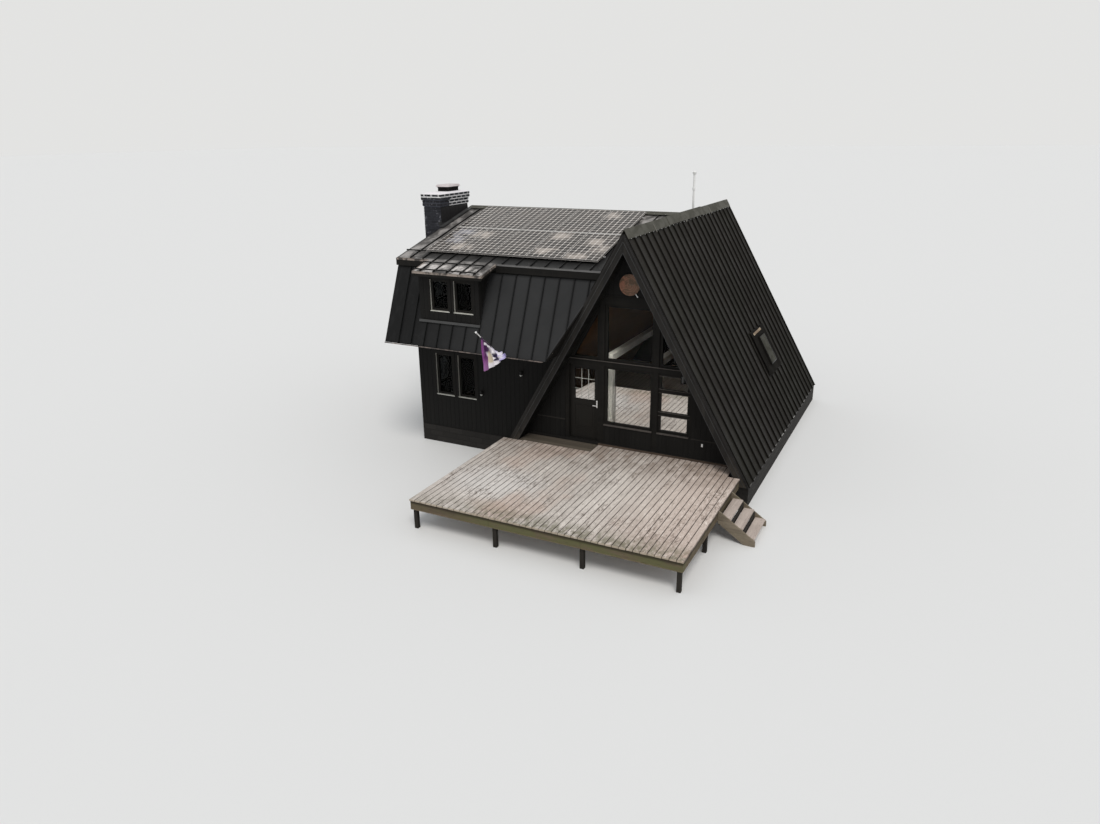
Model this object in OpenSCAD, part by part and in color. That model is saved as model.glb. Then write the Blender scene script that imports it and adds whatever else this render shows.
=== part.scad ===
// A-frame cabin with a cross wing, front deck and steps.
// Millimetres, Z up. X runs across the front, Y runs back along the ridge.
// The origin is at ground level under the middle of the front gable wall.

/* [A-frame roof] */
// Half width of the roof at its eaves, outside
eave_half = 3245; // [3000:5:3500]
// Height of the eaves above the ground
eave_z = 490; // [440:5:560]
// Height of the ridge above the ground
ridge_z = 6190; // [5900:10:6500]
// Length of the roof along its ridge
roof_len = 8820; // [8400:10:9400]
// Thickness of the roof slabs
roof_t = 190; // [160:5:220]
// How far the roof runs past the gable walls
gable_overhang = 485; // [400:5:560]
// Depth of the rake boards, along the gable
rake_w = 215; // [195:5:260]
// Thickness of the rake boards
rake_t = 38; // [25:1:50]

/* [Sheet metal] */
// Thickness of the roofing sheet with its underlay
pan_t = 6; // [4:1:10]
// Height of a standing seam above the slab
seam_h = 44; // [30:1:50]
// Width of a standing seam
seam_w = 16; // [10:1:24]
// Spacing wanted between seams on the A-frame, cut to fit its length
seam_pitch = 406; // [380:1:460]
// Spacing of the seams on the wing
wing_seam_pitch = 402; // [380:1:460]
// First seam of the wing's sheets, from their west edge
wing_seam_in = 416; // [200:1:420]
// Width of the ridge cap down each side
cap_w = 235; // [200:5:300]
// Thickness of the ridge cap
cap_t = 8; // [5:1:12]

/* [Base and floors] */
// Thickness of the foundation walls
base_t = 200; // [160:5:260]
// Height of the finished floors
floor_z = 800; // [760:5:860]
// Gap between a floor's edge and the roof slab
floor_gap = 4; // [2:1:10]

/* [Gable walls] */
// Thickness of all outer walls
wall_t = 150; // [120:5:180]
// Width of the two middle posts
post_w = 130; // [100:5:160]
// Clear width between the middle posts
bay_w = 1300; // [1160:10:1300]
// Width of the posts at the outer ends of the side bays
end_post_w = 60; // [50:5:90]
// Gap between the door bay's top corner and the roof
door_bay_gap = 7; // [5:1:20]
// Gap between the right window bay's top corner and the roof
side_bay_gap = 77; // [60:1:120]
// Height of the window sills
sill_z = 1310; // [1200:5:1400]
// Underside of the transom beam
transom_z = 2860; // [2850:5:2900]
// Depth of the transom beam
transom_h = 120; // [100:5:160]
// Underside of the upper tie beam
tie_z = 4433; // [4350:5:4520]
// Depth of the upper tie beam
tie_h = 218; // [180:5:240]
// Thickness of the closed panel in the gable's top
gable_panel_t = 80; // [60:5:110]
// Radius of the round disc in the gable
disc_r = 255; // [220:5:280]
// Thickness of the disc
disc_t = 55; // [40:5:80]
// Height of the disc's centre above the tie beam
disc_up = 299; // [290:1:320]

/* [Windows] */
// Width of a window frame's members
sash_w = 72; // [50:2:80]
// Depth of the window frames
sash_t = 70; // [50:5:80]
// How far window frames sit behind the wall's face
sash_back = 35; // [20:5:50]
// Thickness of the glass
glass_t = 8; // [6:1:12]
// Height of the lower rail in the right bay's three-part window
rail_low_z = 1810; // [1780:5:1840]
// Height of the upper rail in that window
rail_high_z = 2400; // [2370:5:2430]
// Width of the wing's window openings
wing_win_w = 570; // [540:5:640]
// Space between the wing's paired windows
wing_win_gap = 150; // [120:5:160]
// Sill height of the wing's ground-floor windows
wing_sill_z = 1450; // [1350:10:1500]
// Height of the wing's ground-floor windows
wing_win_h = 1200; // [1150:10:1300]
// Distance from the wing's end wall to its first front window
wing_win_in = 558; // [450:1:620]
// Height of the dormer windows
dormer_win_h = 830; // [780:5:840]
// Height of the dormer window sills above the dormer's foot
dormer_sill_up = 275; // [240:5:300]
// Distance from the dormer roof's west edge to its first window
dormer_win_in = 348; // [320:1:380]

/* [Front door] */
// Thickness of the door frame
jamb_t = 30; // [25:1:40]
// Running clearance round the door leaf
door_gap = 8; // [8:1:10]
// Thickness of the door leaf
leaf_t = 45; // [40:1:50]
// Radius of the hinge barrels
hinge_r = 7; // [6:1:8]
// Length of one hinge
hinge_l = 100; // [80:5:120]
// Height of the door's threshold
threshold_h = 14; // [10:1:20]
// Width of the door's stiles beside its glass
stile_w = 120; // [100:5:140]
// Height from the leaf's foot to its glass
lite_up = 1040; // [980:10:1100]
// Height of the door's glass
lite_h = 850; // [780:10:860]
// Height of the door lever above the floor
lever_up = 950; // [900:10:1000]

/* [Loft frame] */
// Side of the square loft posts and beams
loft_t = 165; // [140:5:180]
// Distance of the loft beams' outer faces from the middle
loft_half = 730; // [680:5:760]
// Height of the top of the loft beams
loft_z = 3080; // [2990:5:3150]
// Distance of the front loft posts behind the wall
loft_in = 200; // [160:10:260]

/* [Wing] */
// Distance of the wing roof's west edge from the A-frame's middle
wing_reach = 6565; // [6200:5:6900]
// How far the wing's roof runs past its west wall
wing_overhang = 265; // [200:5:320]
// Depth of the wing's ridge behind the front gable wall
wing_ridge_y = 3430; // [3390:10:3480]
// How far the wing's ridge rises over the A-frame's
wing_rise = 72; // [50:1:80]
// Height of the wing roof's upper eaves
wing_eave_z = 5260; // [5200:5:5300]
// Distance the upper eaves stand in front of the gable wall
wing_eave_out = 396; // [340:2:420]
// Thickness of the wing's upper roof
wing_roof_t = 150; // [130:5:170]
// Height of the foot of the steep lower roof
steep_z = 3121; // [3080:5:3160]
// Distance the foot of the steep roof stands in front of the gable wall
steep_out = 1162; // [1100:5:1200]
// Pitch of the steep lower roof, in degrees
steep_a = 67.1; // [66:0.1:68]
// Thickness of the steep lower roof
steep_t = 140; // [120:5:160]
// Thickness of the upper floor with its soffit
deck2_t = 200; // [160:5:240]
// Depth of the eaves boards
eave_board_h = 190; // [170:5:220]
// Thickness of the eaves boards
eave_board_t = 24; // [18:1:30]
// How far the verge boards at the wing's west end hang below its roof slabs
verge_lap = 20; // [10:5:40]

/* [Dormers] */
// Distance of the dormer roof's west edge from the wing roof's edge
dormer_in = 1005; // [940:5:1060]
// Width of a dormer roof
dormer_w = 2070; // [2000:10:2160]
// How far the dormer roof runs past the dormer's west side
dormer_west = 15; // [10:1:60]
// How far the dormer roof runs past the dormer's east side
dormer_east = 245; // [200:5:280]
// How far the dormer roof stands in front of the upper eaves
dormer_out = 724; // [680:2:760]
// How far the dormer's face is behind its roof edge
dormer_back = 230; // [200:5:260]
// Thickness of the dormer's walls
dormer_t = 120; // [100:5:140]
// Thickness of the dormer's roof at its edge
dormer_roof_t = 90; // [80:5:110]

/* [Solar array] */
// Width of one solar module
module_w = 990; // [950:2:1010]
// Length of one solar module
module_l = 1688; // [1600:2:1700]
// Thickness of a module
module_t = 35; // [30:1:45]
// Gap between modules
module_gap = 10; // [8:1:16]
// Modules in one row
module_n = 5; // [4:1:5]
// Distance of the array's east side from the A-frame's middle
array_in = 865; // [840:5:920]
// Distance of the array's top from the wing's ridge, down the roof
array_top = 181; // [150:1:220]
// Height of the rails that carry the modules
rail_h = 26; // [20:1:40]
// Width of the rails
rail_w = 40; // [30:1:50]
// Side of the square snow bars
bar_t = 26; // [20:1:36]
// Distance of the dormer's low bar from the roof's edge
bar_low = 40; // [30:1:80]
// Distance of the dormer's high bar from the roof's edge
bar_high = 490; // [440:5:540]
// Distance of the west bar from the main eaves
bar_west = 420; // [380:5:450]
// How far the bars stop short of the roofs' sides
bar_in = 30; // [20:5:60]
// How far the dormer's bars stop short of its east side
bar_in_east = 165; // [120:5:200]

/* [Chimney] */
// Width of the chimney across the gable
stack_w = 560; // [520:10:640]
// Depth of the chimney along the gable wall
stack_d = 1435; // [1300:5:1480]
// Distance of the chimney's front face behind the gable wall
stack_y = 1775; // [1700:5:1850]
// Gap between the chimney and the wing's roof edge
stack_gap = 15; // [10:1:40]
// Height of the shoulder where the stack leaves the wall
shoulder_z = 5500; // [5300:10:5560]
// Height of the brick stack's top
stack_z = 6745; // [6600:5:6900]
// Height of one corbelled band
corbel_h = 170; // [120:5:200]
// How far each corbelled band steps out
corbel_out = 26; // [15:1:30]
// Height of the chimney cap's legs
cap_leg_h = 150; // [120:5:200]
// Thickness of the chimney cap
stack_cap_t = 46; // [35:1:70]
// Width of the chimney cap
stack_cap_w = 420; // [360:10:500]
// Depth of the chimney cap
stack_cap_d = 650; // [560:10:760]
// Distance of the chimney cap behind the stack's middle
cap_back = 150; // [0:10:200]

/* [Deck] */
// Height of the deck's surface
deck_z = 726; // [700:2:740]
// Thickness of the deck boards
board_t = 38; // [30:1:45]
// Distance the deck runs out in front of the gable wall
deck_out = 4860; // [4500:10:5200]
// Distance of the deck's west edge from the middle
deck_west = 3294; // [3100:2:3500]
// Distance of the deck's east edge from the middle
deck_east = 3055; // [2950:5:3200]
// Gap between the deck and the rake boards
deck_rake_gap = 45; // [20:5:70]
// How far the boards run past the rim boards
nosing = 20; // [10:1:40]
// Thickness of the rim boards and beams
rim_t = 38; // [30:1:45]
// Depth of the rim boards and beams
rim_h = 212; // [180:2:235]
// Side of the square deck posts
deck_post = 88; // [80:1:120]
// Posts in each row under the deck
deck_post_n = 4; // [3:1:5]

/* [Steps] */
// Width of the steps over their stringers
step_w = 1100; // [950:10:1200]
// Distance of the steps from the deck's inner corner
step_in = 665; // [600:5:760]
// Rise of one step
step_rise = 181; // [175:1:184]
// Going of one step
step_go = 262; // [240:1:290]
// Depth of a tread
tread_d = 225; // [200:1:236]
// Thickness of the treads and stringers
step_t = 38; // [30:1:45]
// Depth of the stringers, square to their slope
stringer_d = 235; // [200:5:260]

/* [Roof window] */
// Width of the roof window
skylight_w = 540; // [500:10:600]
// Length of the roof window up the slope
skylight_l = 850; // [780:10:900]
// Height of the window's kerb above the slab
kerb_h = 105; // [80:5:130]
// Thickness of the kerb
kerb_t = 45; // [35:1:60]
// Distance of the window's middle behind the gable wall
skylight_y = 5190; // [5000:10:5400]
// Distance of the window's middle up the slope from the eaves
skylight_up = 2110; // [2000:10:2200]
// Flat sheet beside the window
apron_side = 450; // [380:10:480]
// Flat sheet above and below the window
apron_end = 260; // [200:10:300]

/* [Mast, lamps and flag] */
// Radius of the service mast
mast_r = 30; // [25:1:38]
// Distance of the mast from the ridge
mast_x = 300; // [200:10:340]
// Distance of the mast behind the gable wall
mast_y = 5640; // [5500:10:5700]
// Height of the mast's top
mast_z = 7270; // [7000:10:7400]
// Distance of the mast's collar below its top
collar_down = 520; // [400:10:600]
// Length of the flag staff
staff_l = 1230; // [1100:10:1400]
// Radius of the flag staff
staff_r = 13; // [10:1:18]
// Rise of the flag staff, in degrees
staff_a = 38; // [30:1:45]
// Distance of the flag staff from the middle
staff_x = 3080; // [2950:10:3200]
// Width of the flag along its staff
flag_w = 850; // [760:10:900]
// Drop of the flag
flag_drop = 930; // [860:10:980]
// Bare length of staff past the flag
flag_in = 250; // [200:10:280]
// Thickness of the flag's solid
flag_t = 30; // [20:2:50]

/* [Hidden] */
$fn = 48;
eps_joint = 2;
fit_gap = 1;
roof_a = atan((ridge_z - eave_z) / eave_half);
roof_s = (ridge_z - eave_z) / sin(roof_a);
roof_hx = roof_t / sin(roof_a);
roof_vz = roof_t / cos(roof_a);
wall_y = wall_t / 2;
front_y = -wall_y - gable_overhang;
rear_y = front_y + roof_len;
rear_wall_y = rear_y - gable_overhang - wall_y;
long_x = round(in_x(eave_z) - base_t / 2);
cap_apex = ridge_z + seam_h / cos(roof_a);
post_x = bay_w / 2;
bay_x = post_x + post_w;
door_x = -round(in_x(transom_z) - door_bay_gap);
side_x = round(in_x(transom_z) - side_bay_gap);
beam_z = transom_z + transom_h;

wing_z = ridge_z + wing_rise;
wing_x = -wing_reach;
wing_wall_x = wing_x + wing_overhang;
wing_eave_y = -wing_eave_out;
wing_run = wing_ridge_y - wing_eave_y;
wing_slope = (wing_z - wing_eave_z) / wing_run;
wing_a = atan(wing_slope);
wing_vz = wing_roof_t / cos(wing_a);
steep_y = -steep_out;
steep_s = tan(steep_a);
steep_hy = steep_t / sin(steep_a);
dormer_x = wing_x + dormer_in;
dormer_x1 = dormer_x + dormer_w;
dormer_eave_y = wing_eave_y - dormer_out;
dormer_y = dormer_eave_y + dormer_back;
dormer_in_x = dormer_x + dormer_west + dormer_t;
dormer_in_x1 = dormer_x1 - dormer_east - dormer_t;
dormer_vz = dormer_roof_t / cos(wing_a);

lantern_in = 170;
small_lights = [[-3000, 2400], [-4250, 1690]];
staff_back = 120;
staff_foot = [-staff_x, steep_y, steep_z + 60];

// Outer and inner half width of the A-frame at a height
function out_x(z) = (ridge_z - z) / tan(roof_a);
function in_x(z) = out_x(z) - roof_hx;

// Height of the wing roof's top surface and underside at a depth, front half
function wing_top(y) = wing_z - (wing_ridge_y - y) * wing_slope;
function wing_under(y) = wing_top(y) - wing_vz;

// Depth of the steep roof's outer face at a height, moved back by d
function steep_face(z, d = 0) = steep_y + (z - steep_z) / steep_s + d;

// Height where the steep face, moved back by d, meets the wing roof's underside
function steep_meet(d) = (wing_z - wing_vz + (steep_y + d - steep_z / steep_s - wing_ridge_y) * wing_slope)
    / (1 - wing_slope / steep_s);

// A profile in X and Z, drawn out along Y
module along_y(y0, y1) {
    translate([0, y1, 0]) rotate([90, 0, 0]) linear_extrude(y1 - y0) children();
}

// A profile in Y and Z, drawn out along X
module along_x(x0, x1) {
    translate([x0, 0, 0]) rotate([90, 0, 90]) linear_extrude(x1 - x0) children();
}

// A box given by its two corners
module span(a, b) {
    translate(a) cube(b - a);
}

// The same piece again on the far side of the wing's ridge
module wing_rear() {
    translate([0, 2 * wing_ridge_y, 0]) mirror([0, 1, 0]) children();
}

module wing_both() {
    children();
    wing_rear() children();
}

// The whole volume under the A-frame's outer faces, grown by d, and on past its gables
module a_frame_space(d = 0) {
    foot = -400;
    past = 2 * steep_out;
    grow = d / sin(roof_a);
    along_y(front_y - past, rear_y + past) polygon([[-out_x(foot) - grow, foot], [out_x(foot) + grow, foot],
        [0, ridge_z + d / cos(roof_a)]]);
}

// The room between the roof slabs, shrunk by d
module gable_space(d = 0, y0 = -wall_y, y1 = wall_y) {
    shrink = d / sin(roof_a);
    along_y(y0, y1) polygon([[-in_x(eave_z) + shrink, eave_z], [in_x(eave_z) - shrink, eave_z],
        [0, ridge_z - roof_vz - d / cos(roof_a)]]);
}

// The place under the A-frame's ridge cap, with a little clearance
module cap_space() {
    clear = 3;
    intersection() {
        a_frame_space(seam_h + 2 * cap_t + clear);
        span([-2 * cap_w, front_y, cap_apex - cap_w * sin(roof_a) - clear],
            [cap_w, rear_y, cap_apex + cap_w]);
    }
}

module east_slab() {
    along_y(front_y, rear_y) polygon([[in_x(eave_z), eave_z], [out_x(eave_z), eave_z],
        [0, ridge_z], [0, ridge_z - roof_vz]]);
}

// The wing's sheet with standing seams, drawn along Z from its top, its face towards Y
module seamed_sheet(width, len) {
    n = floor((width - wing_seam_in - seam_w) / wing_seam_pitch);
    seams = [for (i = [n:-1:0]) for (p = [[1, 0], [1, 1], [0, 1], [0, 0]])
        [wing_seam_in + i * wing_seam_pitch + p[0] * seam_w, p[1] == 1 ? seam_h : pan_t]];
    linear_extrude(len)
        polygon(concat([[0, fit_gap], [width, fit_gap], [width, pan_t]], seams, [[0, pan_t]]));
}

// The A-frame's sheet, with a seam along each gable edge
module cabin_sheet() {
    n = round(roof_len / seam_pitch);
    pitch = (roof_len - seam_w) / n;
    steps = [for (i = [n:-1:0]) for (p = [[1, 0], [1, 1], [0, 1], [0, 0]])
        [i * pitch + p[0] * seam_w, p[1] == 1 ? seam_h : pan_t]];
    inner = [for (i = [1:len(steps) - 2]) steps[i]];
    linear_extrude(roof_s) polygon(concat([[0, fit_gap], [roof_len, fit_gap]], inner));
}

// Places a sheet on the A-frame's east face, from the ridge down
module on_east_face() {
    translate([0, front_y, ridge_z]) rotate([0, 90 + roof_a, 0]) rotate([0, 0, 90]) children();
}

// Places a sheet on a face of the wing that falls towards the front at an angle
module on_wing_face(x, y, z, a) {
    translate([x, y, z]) rotate([90 + a, 0, 0]) children();
}

module foundation_cross() color("dimgray") {
    for (y = [0, rear_wall_y])
        span([-long_x, y - base_t / 2, 0], [long_x, y + base_t / 2, eave_z]);
    wing_both() span([wing_wall_x, -base_t / 2, 0], [-out_x(eave_z), base_t / 2, eave_z]);
}

module foundation_long() color("dimgray") {
    edge = base_t / 2;
    for (s = [0, 1]) mirror([s, 0, 0]) span([long_x, front_y, 0], [out_x(eave_z), rear_y, eave_z]);
    span([wing_wall_x, edge, 0], [wing_wall_x + base_t, 2 * wing_ridge_y - edge, eave_z]);
}

module cabin_floor() color("saddlebrown") {
    intersection() {
        gable_space(floor_gap, -wall_y, rear_wall_y + wall_y);
        span([-eave_half, -wall_y, eave_z], [eave_half, rear_wall_y + wall_y, floor_z]);
    }
}

module wing_floor() color("saddlebrown") {
    difference() {
        span([wing_wall_x + wall_t, wall_y, eave_z], [0, 2 * wing_ridge_y - wall_y, floor_z]);
        a_frame_space();
    }
}

// Upper floor of the wing, which closes the eaves as a soffit
module wing_upper_floor() color("black") {
    y0 = steep_face(steep_z, steep_hy + fit_gap);
    y1 = steep_face(steep_z + deck2_t, steep_hy + fit_gap);
    far = 2 * wing_ridge_y;
    difference() {
        along_x(wing_wall_x, 0) polygon([[y0, steep_z], [far - y0, steep_z],
            [far - y1, steep_z + deck2_t], [y1, steep_z + deck2_t]]);
        a_frame_space();
    }
}

module roof_east() color("saddlebrown") {
    east_slab();
}

module roof_west() color("saddlebrown") {
    mirror([1, 0, 0]) east_slab();
}

// Flat flashing sheet round the roof window, and the opening for its kerb
module skylight_place(w, l, h) {
    mid = roof_s - skylight_up;
    on_east_face() translate([skylight_y - front_y - w / 2, 0, mid - l / 2]) cube([w, h, l]);
}

module metal_east() color([0.13, 0.13, 0.13]) {
    flat_w = skylight_w + 2 * apron_side;
    flat_l = skylight_l + 2 * apron_end;
    difference() {
        on_east_face() cabin_sheet();
        difference() {
            skylight_place(flat_w, flat_l, 2 * seam_h);
            skylight_place(flat_w, flat_l, pan_t);
        }
        skylight_place(skylight_w, skylight_l, 2 * seam_h);
    }
    // Raised diverter at the top of the flat sheet
    mid = roof_s - skylight_up;
    on_east_face() translate([skylight_y - front_y - flat_w / 2, pan_t, mid - flat_l / 2])
        cube([flat_w - apron_side / 2, seam_h, seam_h]);
}

module metal_west() color([0.13, 0.13, 0.13]) {
    clear = seam_h + cap_t + 4;
    difference() {
        mirror([1, 0, 0]) on_east_face() cabin_sheet();
        wing_envelope(clear);
    }
}

// Everything inside the wing's outer faces, grown by d, to cut the west sheet
module wing_envelope(d) {
    far = 2 * wing_ridge_y;
    g = d / cos(wing_a);
    y0 = wing_eave_y - d - eave_board_t;
    y1 = steep_y - d / sin(steep_a) - eave_board_t;
    along_x(wing_x, 0) polygon([[-wall_y, 0], [-wall_y, steep_z - d], [y1, steep_z - d],
        [y0, wing_eave_z - eave_board_h], [y0, wing_top(y0) + g], [wing_ridge_y, wing_z + g + cap_t],
        [far - y0, wing_top(y0) + g], [far - y0, wing_eave_z - eave_board_h],
        [far - y1, steep_z - d], [far + wall_y, steep_z - d], [far + wall_y, 0]]);
}

// Folded cap in three lengths, each lapping the next
module ridge_cap() color([0.25, 0.25, 0.24]) {
    seg = roof_len / 3;
    dx = cap_w * cos(roof_a);
    dz = cap_w * sin(roof_a);
    t = cap_t / cos(roof_a);
    for (i = [0:2]) {
        lap = i == 1 ? 40 : 0;
        apex = cap_apex + (i == 1 ? t : 0);
        along_y(front_y + i * seg - lap, front_y + (i + 1) * seg + lap)
            polygon([[0, apex + t], [dx, apex + t - dz], [dx, apex - dz], [0, apex],
                [-dx, apex - dz], [-dx, apex + t - dz]]);
    }
}

module rake_board() {
    d = rake_w / sin(roof_a);
    along_y(front_y - rake_t, front_y) polygon([[out_x(eave_z) - d, eave_z], [out_x(eave_z), eave_z],
        [eps_joint, ridge_z - eps_joint * tan(roof_a)],
        [eps_joint, ridge_z - eps_joint * tan(roof_a) - rake_w / cos(roof_a)]]);
}

module rake_boards() color([0.1, 0.1, 0.1]) {
    for (s = [0, 1]) mirror([s, 0, 0]) {
        rake_board();
        translate([0, roof_len + rake_t, 0]) rake_board();
    }
}

// Two middle posts from the floor to the tie beam, and one at the end of each side bay
module front_posts() color([0.09, 0.09, 0.09]) {
    for (s = [0, 1]) mirror([s, 0, 0]) {
        span([post_x, -wall_y, floor_z], [bay_x, wall_y, transom_z]);
        span([post_x, -wall_y, beam_z], [bay_x, wall_y, tie_z]);
    }
    intersection() {
        gable_space(fit_gap);
        union() {
            span([door_x - end_post_w, -wall_y, floor_z], [door_x, wall_y, transom_z]);
            span([side_x, -wall_y, floor_z], [side_x + end_post_w, wall_y, transom_z]);
        }
    }
}

module front_beams() color([0.09, 0.09, 0.09]) {
    intersection() {
        gable_space();
        union() {
            span([-eave_half, -wall_y, transom_z], [eave_half, wall_y, beam_z]);
            span([-eave_half, -wall_y, tie_z], [eave_half, wall_y, tie_z + tie_h]);
        }
    }
}

module gable_panel() color([0.06, 0.06, 0.06]) {
    intersection() {
        gable_space();
        span([-eave_half, -wall_y, tie_z + tie_h], [eave_half, -wall_y + gable_panel_t, ridge_z]);
    }
}

module gable_disc() color([0.38, 0.2, 0.13]) {
    rim = 30;
    dish = 12;
    translate([0, -wall_y, tie_z + tie_h + disc_up]) rotate([90, 0, 0]) difference() {
        cylinder(r = disc_r, h = disc_t);
        translate([0, 0, disc_t - dish]) cylinder(r = disc_r - rim, h = disc_t);
    }
}

module front_wall() color([0.1, 0.1, 0.1]) {
    intersection() {
        gable_space();
        union() {
            span([-eave_half, -wall_y, floor_z], [door_x - end_post_w, wall_y, transom_z]);
            span([-post_x, -wall_y, floor_z], [post_x, wall_y, sill_z]);
            span([bay_x, -wall_y, floor_z], [side_x, wall_y, sill_z]);
            span([side_x + end_post_w, -wall_y, floor_z], [eave_half, wall_y, transom_z]);
        }
    }
}

leaf_x0 = door_x + jamb_t + door_gap;
leaf_x1 = -bay_x - jamb_t - door_gap;
leaf_y1 = wall_y - eps_joint;
leaf_y0 = leaf_y1 - leaf_t;
leaf_z0 = floor_z + threshold_h + door_gap;
leaf_z1 = transom_z - jamb_t - door_gap;

module door_frame() color([0.09, 0.09, 0.09]) {
    stop = 14;
    stop_y = leaf_y0 - door_gap;
    difference() {
        span([door_x, -wall_y, floor_z], [-bay_x, wall_y, transom_z]);
        span([door_x + jamb_t, stop_y, floor_z + threshold_h],
            [-bay_x - jamb_t, wall_y + 1, transom_z - jamb_t]);
        span([door_x + jamb_t + stop, -wall_y - 1, floor_z + threshold_h],
            [-bay_x - jamb_t - stop, wall_y, transom_z - jamb_t - stop]);
    }
}

module front_door() color([0.09, 0.09, 0.09]) {
    panel_in = 9;
    lite_z = leaf_z0 + lite_up;
    difference() {
        span([leaf_x0, leaf_y0, leaf_z0], [leaf_x1, leaf_y1, leaf_z1]);
        span([leaf_x0 + stile_w, leaf_y0 - 1, lite_z], [leaf_x1 - stile_w, leaf_y1 + 1, lite_z + lite_h]);
        // Sunk panel below the glass
        span([leaf_x0 + stile_w, leaf_y0 - 1, leaf_z0 + 2 * stile_w],
            [leaf_x1 - stile_w, leaf_y0 + panel_in, lite_z - stile_w]);
    }
}

// Three hinges on the leaf's inner face, their barrels on the axis it turns about
hinge_x = leaf_x0 + 3;
hinge_y = leaf_y1 + hinge_r + 3;
module door_hinges() color([0.1, 0.1, 0.1]) {
    plate_w = 34;
    plate_t = 4;
    inset = 180;
    step = (leaf_z1 - leaf_z0 - 2 * inset - hinge_l) / 2;
    for (i = [0:2]) {
        z = leaf_z0 + inset + i * step;
        translate([hinge_x, hinge_y, z]) cylinder(r = hinge_r, h = hinge_l);
        span([hinge_x - 2, leaf_y1, z], [hinge_x + plate_w, leaf_y1 + plate_t, z + hinge_l]);
    }
}

module door_glass() color([0.5, 0.6, 0.6, 0.4]) {
    lite_z = leaf_z0 + lite_up;
    mid = (leaf_y0 + leaf_y1) / 2;
    span([leaf_x0 + stile_w, mid - glass_t / 2, lite_z],
        [leaf_x1 - stile_w, mid + glass_t / 2, lite_z + lite_h]);
}

// Lever and deadbolt, outside and inside
module door_lever() color("silver") {
    x = leaf_x1 - stile_w / 2;
    z = floor_z + lever_up;
    lever_l = 110;
    rose_r = 26;
    bolt_up = 110;
    for (side = [[leaf_y0, 90], [leaf_y1, -90]]) {
        translate([x, side[0], z]) rotate([side[1], 0, 0]) {
            cylinder(r = rose_r, h = 8);
            cylinder(r = 9, h = 48);
            translate([-lever_l, -9, 34]) cube([lever_l, 18, 14]);
        }
        translate([x, side[0], z + bolt_up]) rotate([side[1], 0, 0]) cylinder(r = rose_r, h = 14);
    }
}

// A window frame in a wall that faces the front, with its opening
module window_ring(x0, x1, z0, z1, y) {
    difference() {
        span([x0, y, z0], [x1, y + sash_t, z1]);
        span([x0 + sash_w, y - 1, z0 + sash_w], [x1 - sash_w, y + sash_t + 1, z1 - sash_w]);
    }
}

module window_pane(x0, x1, z0, z1, y) {
    mid = y + sash_t / 2;
    span([x0 + sash_w, mid - glass_t / 2, z0 + sash_w], [x1 - sash_w, mid + glass_t / 2, z1 - sash_w]);
}

// The sloped windows beside the upper middle posts
module side_triangle(d, y0, y1) {
    intersection() {
        gable_space(d, y0, y1);
        span([bay_x + d, y0, beam_z + d], [eave_half, y1, tie_z - d]);
    }
}

rear_win_z0 = sill_z;
rear_win_z1 = transom_z;
rear_up_z1 = tie_z;

module cabin_window_frames() color([0.08, 0.08, 0.08]) {
    y = -wall_y + sash_back;
    rail = sash_w * 1.25;
    window_ring(-post_x, post_x, sill_z, transom_z, y);
    window_ring(-post_x, post_x, beam_z, tie_z, y);
    for (s = [0, 1]) mirror([s, 0, 0]) difference() {
        side_triangle(0, y, y + sash_t);
        side_triangle(sash_w, y - 1, y + sash_t + 1);
    }
    difference() {
        span([bay_x, y, sill_z], [side_x, y + sash_t, transom_z]);
        for (r = [[sill_z + sash_w, rail_low_z - rail / 2], [rail_low_z + rail / 2, rail_high_z - rail / 2],
                [rail_high_z + rail / 2, transom_z - sash_w]])
            span([bay_x + sash_w, y - 1, r[0]], [side_x - sash_w, y + sash_t + 1, r[1]]);
    }
    ry = rear_wall_y + wall_y - sash_back - sash_t;
    window_ring(-post_x, post_x, rear_win_z0, rear_win_z1, ry);
    window_ring(-post_x, post_x, beam_z, rear_up_z1, ry);
}

module cabin_glass() color([0.5, 0.6, 0.6, 0.4]) {
    y = -wall_y + sash_back;
    mid = y + sash_t / 2;
    rail = sash_w * 1.25;
    window_pane(-post_x, post_x, sill_z, transom_z, y);
    window_pane(-post_x, post_x, beam_z, tie_z, y);
    for (s = [0, 1]) mirror([s, 0, 0]) side_triangle(sash_w, mid - glass_t / 2, mid + glass_t / 2);
    for (r = [[sill_z + sash_w, rail_low_z - rail / 2], [rail_low_z + rail / 2, rail_high_z - rail / 2],
            [rail_high_z + rail / 2, transom_z - sash_w]])
        span([bay_x + sash_w, mid - glass_t / 2, r[0]], [side_x - sash_w, mid + glass_t / 2, r[1]]);
    ry = rear_wall_y + wall_y - sash_back - sash_t;
    window_pane(-post_x, post_x, rear_win_z0, rear_win_z1, ry);
    window_pane(-post_x, post_x, beam_z, rear_up_z1, ry);
    skylight_pane();
}

module rear_wall() color([0.1, 0.1, 0.1]) {
    y0 = rear_wall_y - wall_y;
    y1 = rear_wall_y + wall_y;
    difference() {
        intersection() {
            gable_space(0, y0, y1);
            span([-eave_half, y0, floor_z], [eave_half, y1, ridge_z]);
        }
        span([-post_x, y0 - 1, rear_win_z0], [post_x, y1 + 1, rear_win_z1]);
        span([-post_x, y0 - 1, beam_z], [post_x, y1 + 1, rear_up_z1]);
    }
}

loft_y0 = wall_y + loft_in;
loft_y1 = rear_wall_y - wall_y;

module loft_posts() color([0.75, 0.7, 0.6]) {
    for (s = [0, 1]) mirror([s, 0, 0]) for (y = [loft_y0, loft_y1 - loft_t])
        span([loft_half - loft_t, y, floor_z], [loft_half, y + loft_t, loft_z - loft_t]);
}

module loft_beams() color([0.75, 0.7, 0.6]) {
    for (s = [0, 1]) mirror([s, 0, 0])
        span([loft_half - loft_t, loft_y0, loft_z - loft_t], [loft_half, loft_y1, loft_z]);
}

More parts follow.
